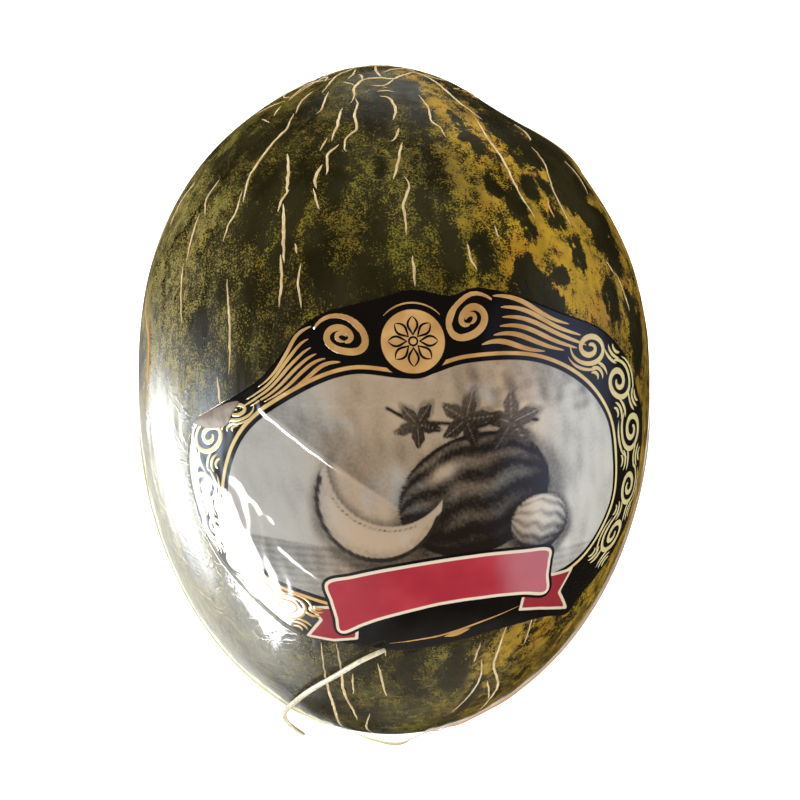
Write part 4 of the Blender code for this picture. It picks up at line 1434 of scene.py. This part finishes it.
def film_material():
    """Clear stretched film: see-through, mirroring by angle, whitened along creases and at its edge. Its
    edge and its outline as seen are also a painted rim line, lit yellow-green on the left and shaded
    brown on the right.
    """
    material, r, shader = new_material("clear_film_gloss")
    place = r.read("sheet_place", "Vector")
    crinkle = r.use(CRINKLE, place=place, scale=45.0, crease=0.35)
    normal = r.bump(crinkle["Height"], 0.30, 0.0012)
    mirroring = r.node("ShaderNodeFresnel", {"IOR": 1.55, "Normal": normal}).outputs[0]
    x, y, _ = r.parts(place)
    low_left = r.add(r.times(x, 0.75), y)
    low = r.ramp(y, -0.020, -0.060)
    settled = r.maths("MAXIMUM", r.ramp(r.read("depth_in"), 1.0, 26.0), low)
    loose = r.times(r.ramp(low_left, 0.020, -0.040, 0.12, 1.0), settled)
    facing = r.node("ShaderNodeLayerWeight").outputs["Facing"]
    # the outline as seen, drawn opaque: a painted rim line
    grazing = r.times(r.ramp(facing, 0.80, 0.90), r.ramp(y, 0.010, -0.015))
    rim = r.maths("MAXIMUM", r.times(r.ramp(r.read("share"), 0.950, 0.985), low), grazing)
    white = r.times(r.add(mirroring, r.times(crinkle["Creases"], 0.012)), loose)
    beside = r.apart(x, -0.002)
    flap = r.times(r.ramp(r.read("share"), 0.80, 0.94), r.ramp(beside, 0.012, 0.026, 1.0, 0.0))
    white = r.add(white, r.times(r.times(flap, low), 0.22))
    front = r.minus(1.0, r.node("ShaderNodeNewGeometry").outputs["Backfacing"])
    # painted light and shade: the rim line lit yellow-green on the left, shaded brown on the right
    rim_light_and_shade = r.blend(r.ramp(x, -0.030, 0.050), *RIM_LIT_AND_SHADED)
    smooth = r.ramp(r.noise(place, 90.0, 2.0), 0.3, 0.7, 0.06, 0.16)
    r.give(shader, {
        "Base Color": r.blend(rim, FILM_WHITE, rim_light_and_shade),
        "Metallic": r.minus(1.0, rim),
        "Roughness": r.maths("ADD", smooth, r.times(rim, 0.8), clamp=True),
        "Alpha": r.maths("MULTIPLY", r.add(white, r.times(rim, 0.95)), front, clamp=True),
        "Normal": normal,
    })
    return material


def make_cord():
    """The cut end of a stiff plastic strip: an oval section carried along the route that the solid follows.

    A point is route + cos(a) * half width sideways + sin(a) * half thickness outward, where outward
    is away from the fruit's axis and sideways is square to it and to the route.
    """
    p = np.array(CORD_ROUTE, float)
    rows = skin(np.radians(p[:, 0]), angle_at(p[:, 1] / 1000), p[:, 2] / 1000)
    route = smooth_route(rows, CORD_STEPS)
    ahead = np.gradient(route, axis=0)
    ahead /= np.linalg.norm(ahead, axis=1, keepdims=True)
    outward = route - np.array([0, 0, AXIS_HEIGHT])
    sideways = np.cross(ahead, outward)
    sideways /= np.linalg.norm(sideways, axis=1, keepdims=True)
    outward = np.cross(sideways, ahead)
    angle = np.linspace(0, 2 * math.pi, STRIP_SIDES, endpoint=False)
    grooves = 1 + 0.05 * np.cos(4 * angle)
    shrink = np.ones(len(route))
    shrink[[0, -1]] = 0.80
    half = CORD_DIAMETER / 2 * grooves[None, :] * shrink[:, None]
    points = (route[:, None, :] + (half * np.cos(angle))[..., None] * sideways[:, None, :]
              + (half * STRIP_FLATNESS * np.sin(angle))[..., None] * outward[:, None, :])
    quads, triangles = join_tubes([len(route)], STRIP_SIDES)
    strip = new_piece("cord_strip", points, quads, triangles, ["carry_cord"])
    strip.data.materials.append(strip_material())


MILKY_PLASTIC = ((0.500, 0.440, 0.290), (0.620, 0.560, 0.410))


def strip_material():
    """Milky cream plastic with faint lengthwise streaks."""
    material, r, shader = new_material("strip_plastic")
    place = r.place()
    streak = r.noise(r.stretched(place, (1.0, 0.2, 1.0)), 900.0, 2.0)
    milky = r.noise(place, 160.0, 2.0)
    pale = r.blend(r.ramp(milky, 0.35, 0.65), *MILKY_PLASTIC)
    r.give(shader, {
        "Base Color": r.shade(pale, r.ramp(streak, 0.3, 0.7, 0.85, 1.1)),
        "Roughness": r.ramp(streak, 0.3, 0.7, 0.22, 0.38),
        "Subsurface Weight": 0.15,
        "Subsurface Radius": (0.004, 0.003, 0.002),
        "Normal": r.bump(streak, 0.2, 0.0003),
    })
    return material


def aim(camera, target):
    """Turns the camera to look at a point, with +Y of the scene towards the top of its view."""
    back = (camera.location - Vector(target)).normalized()
    right = Vector((0, 1, 0)).cross(back).normalized()
    up = back.cross(right)
    camera.rotation_euler = Matrix((right, up, back)).transposed().to_euler()


def make_camera():
    """The camera, tilted from straight above the label towards the stem end."""
    camera = bpy.data.cameras.new("camera")
    camera.lens = CAMERA_LENS
    camera.sensor_width = CAMERA_SENSOR
    camera.shift_x, camera.shift_y = CAMERA_SHIFT
    camera.clip_start, camera.clip_end = CAMERA_RANGE
    obj = new_object("camera", camera)
    behind = CAMERA_DISTANCE * math.sin(CAMERA_TILT)
    above = CAMERA_DISTANCE * math.cos(CAMERA_TILT)
    obj.location = (0, behind, AXIS_HEIGHT + above)
    aim(obj, FRUIT_MIDDLE)
    bpy.context.scene.camera = obj


# flat lights that face the fruit: name, place, size in metres, radiance, colour and what each one lights
SOFTBOXES = (
    ("overhead", (-0.15, -0.05, 1.40), (1.5, 1.5), 1.75, (1.0, 0.99, 0.97), "diffuse"),
    ("left_key", (-0.90, -0.45, 0.55), (0.6, 0.6), 3.2, (1.0, 0.98, 0.95), "diffuse"),
    ("left_fill", (-1.0, 0.35, 0.30), (0.7, 0.5), 2.8, (1.0, 0.99, 0.96), "diffuse"),
    ("stem_fill", (0.10, 1.05, 0.42), (0.9, 0.6), 5.4, (1.0, 0.98, 0.92), "diffuse"),
    ("front_fill", (0.15, -1.0, 0.35), (0.9, 0.5), 8.0, (1.0, 0.99, 0.95), "diffuse"),
    ("right_fill", (1.0, -0.1, 0.14), (0.8, 0.4), 4.0, (1.0, 0.98, 0.93), "diffuse"),
    ("window", (-0.73, -0.58, 0.27), (0.64, 0.44), 18.0, (0.97, 0.985, 1.0), "gloss"),
)


def softbox(name, place, size, radiance, colour, lights):
    """A flat light that faces the fruit's middle, as bright as radiance says over its area.

    It lights only the diffuse part of surfaces, or only shows in their gloss.
    """
    light = bpy.data.lights.new(name, "AREA")
    light.shape = "RECTANGLE"
    light.size, light.size_y = size
    light.energy = radiance * math.pi * size[0] * size[1]
    light.color = colour
    obj = new_object(name, light)
    obj.location = place
    obj.rotation_euler = (Vector(FRUIT_MIDDLE) - obj.location).to_track_quat("-Z", "Y").to_euler()
    obj.visible_camera = False
    obj.visible_glossy = lights != "diffuse"
    obj.visible_diffuse = lights != "gloss"


# soft lights that only gloss shows: direction, how wide as a cosine, and colour times radiance
SHEENS = (
    ((-0.66, -0.73, -0.16), 0.88, (1.8, 1.8, 1.7)),
    ((-0.97, -0.22, 0.02), 0.95, (3.0, 3.5, 4.2)),
    ((-0.81, -0.33, -0.48), 0.945, (10.0, 10.3, 10.8)),
    ((-0.50, -0.45, -0.74), 0.88, (1.2, 1.2, 1.2)),
    ((0.05, 0.76, -0.64), 0.93, (1.1, 1.15, 1.15)),
    ((0.93, -0.08, 0.22), 0.74, (0.36, 0.43, 0.66)),
    ((-0.60, -0.60, 0.52), 0.70, (0.30, 0.30, 0.30)),
    ((0.10, -0.99, -0.05), 0.80, (0.22, 0.20, 0.17)),
)


SKY = (0.150, 0.154, 0.160)
DARK_ROOM = (0.021, 0.018, 0.012)
WHITE = (1.0, 1.0, 1.0)


def make_surroundings():
    """An even sky for the diffuse light, a dark room with soft lights for gloss, and white for the camera."""
    world = bpy.context.scene.world or bpy.data.worlds.new("world")
    bpy.context.scene.world = world
    world.use_nodes = True
    r = Recipe(world.node_tree)
    way = r.node("ShaderNodeTexCoord").outputs["Generated"]
    room = DARK_ROOM
    for direction, width, colour in SHEENS:
        length = math.sqrt(sum(k * k for k in direction))
        unit = tuple(k / length for k in direction)
        towards = r.node("ShaderNodeVectorMath", {0: way, 1: unit}, operation="DOT_PRODUCT")
        room = r.blend(r.ramp(towards.outputs["Value"], width, 1.0), room, colour)
    ray = r.node("ShaderNodeLightPath").outputs
    lit = r.blend(ray["Is Glossy Ray"], SKY, room)
    seen = r.blend(ray["Is Camera Ray"], lit, WHITE)
    r.give(world.node_tree.nodes["Background"], {"Color": seen, "Strength": 1.0})


# the floor, just under the fruit: half its width, its height, its colour and the light it adds
FLOOR_REACH = 4.0
FLOOR_LEVEL = -0.0003
FLOOR_COLOUR = (0.95, 0.95, 0.95)
FLOOR_GLOW = (0.30, 0.30, 0.30)


def make_floor():
    """A near-white floor, which the camera sees as white."""
    mesh = bpy.data.meshes.new("floor")
    turns = ((-1, -1), (1, -1), (1, 1), (-1, 1))
    corners = [(x * FLOOR_REACH, y * FLOOR_REACH, FLOOR_LEVEL) for x, y in turns]
    mesh.from_pydata(corners, [], [(0, 1, 2, 3)])
    floor = new_object("floor", mesh)
    material, r, shader = new_material("pale_floor")
    seen = r.node("ShaderNodeLightPath").outputs["Is Camera Ray"]
    r.give(shader, {
        "Base Color": FLOOR_COLOUR,
        "Roughness": 0.9,
        "Specular IOR Level": 0.1,
        "Emission Color": r.blend(seen, FLOOR_GLOW, WHITE),
        "Emission Strength": 1.0,
    })
    mesh.materials.append(material)
    floor.visible_glossy = False


def make_stage():
    """The floor, an even sky, a bright window low on the left and soft fills elsewhere."""
    make_floor()
    make_surroundings()
    for box in SOFTBOXES:
        softbox(*box)
    view = bpy.context.scene.view_settings
    view.view_transform = "Standard"
    view.look = "None"
    view.exposure = 0.0
    view.gamma = 1.0


def main():
    make_camera()
    make_cord()
    make_rind()
    make_cracks()
    make_scar("stem_scar", STEM_RINGS, STEM_HALF - DIMPLE_DEPTH, STEM_LEAN, 1, SEED + 6)
    make_scar("blossom_scar", SCAR_RINGS, -BLOSSOM_HALF, BLOSSOM_LEAN, -1, SEED + 7)
    make_sheet()
    gold = ink_material("gold_ink", gold_colour, 0.15)
    make_strokes("gold_ornament", border_strokes(), gold)
    black = ink_material("black_ink", black_colour, 0.0)
    make_strokes("medallion_rosette", rosette_strokes(), black)
    make_folded_corner()
    make_margin()
    make_stage()


main()
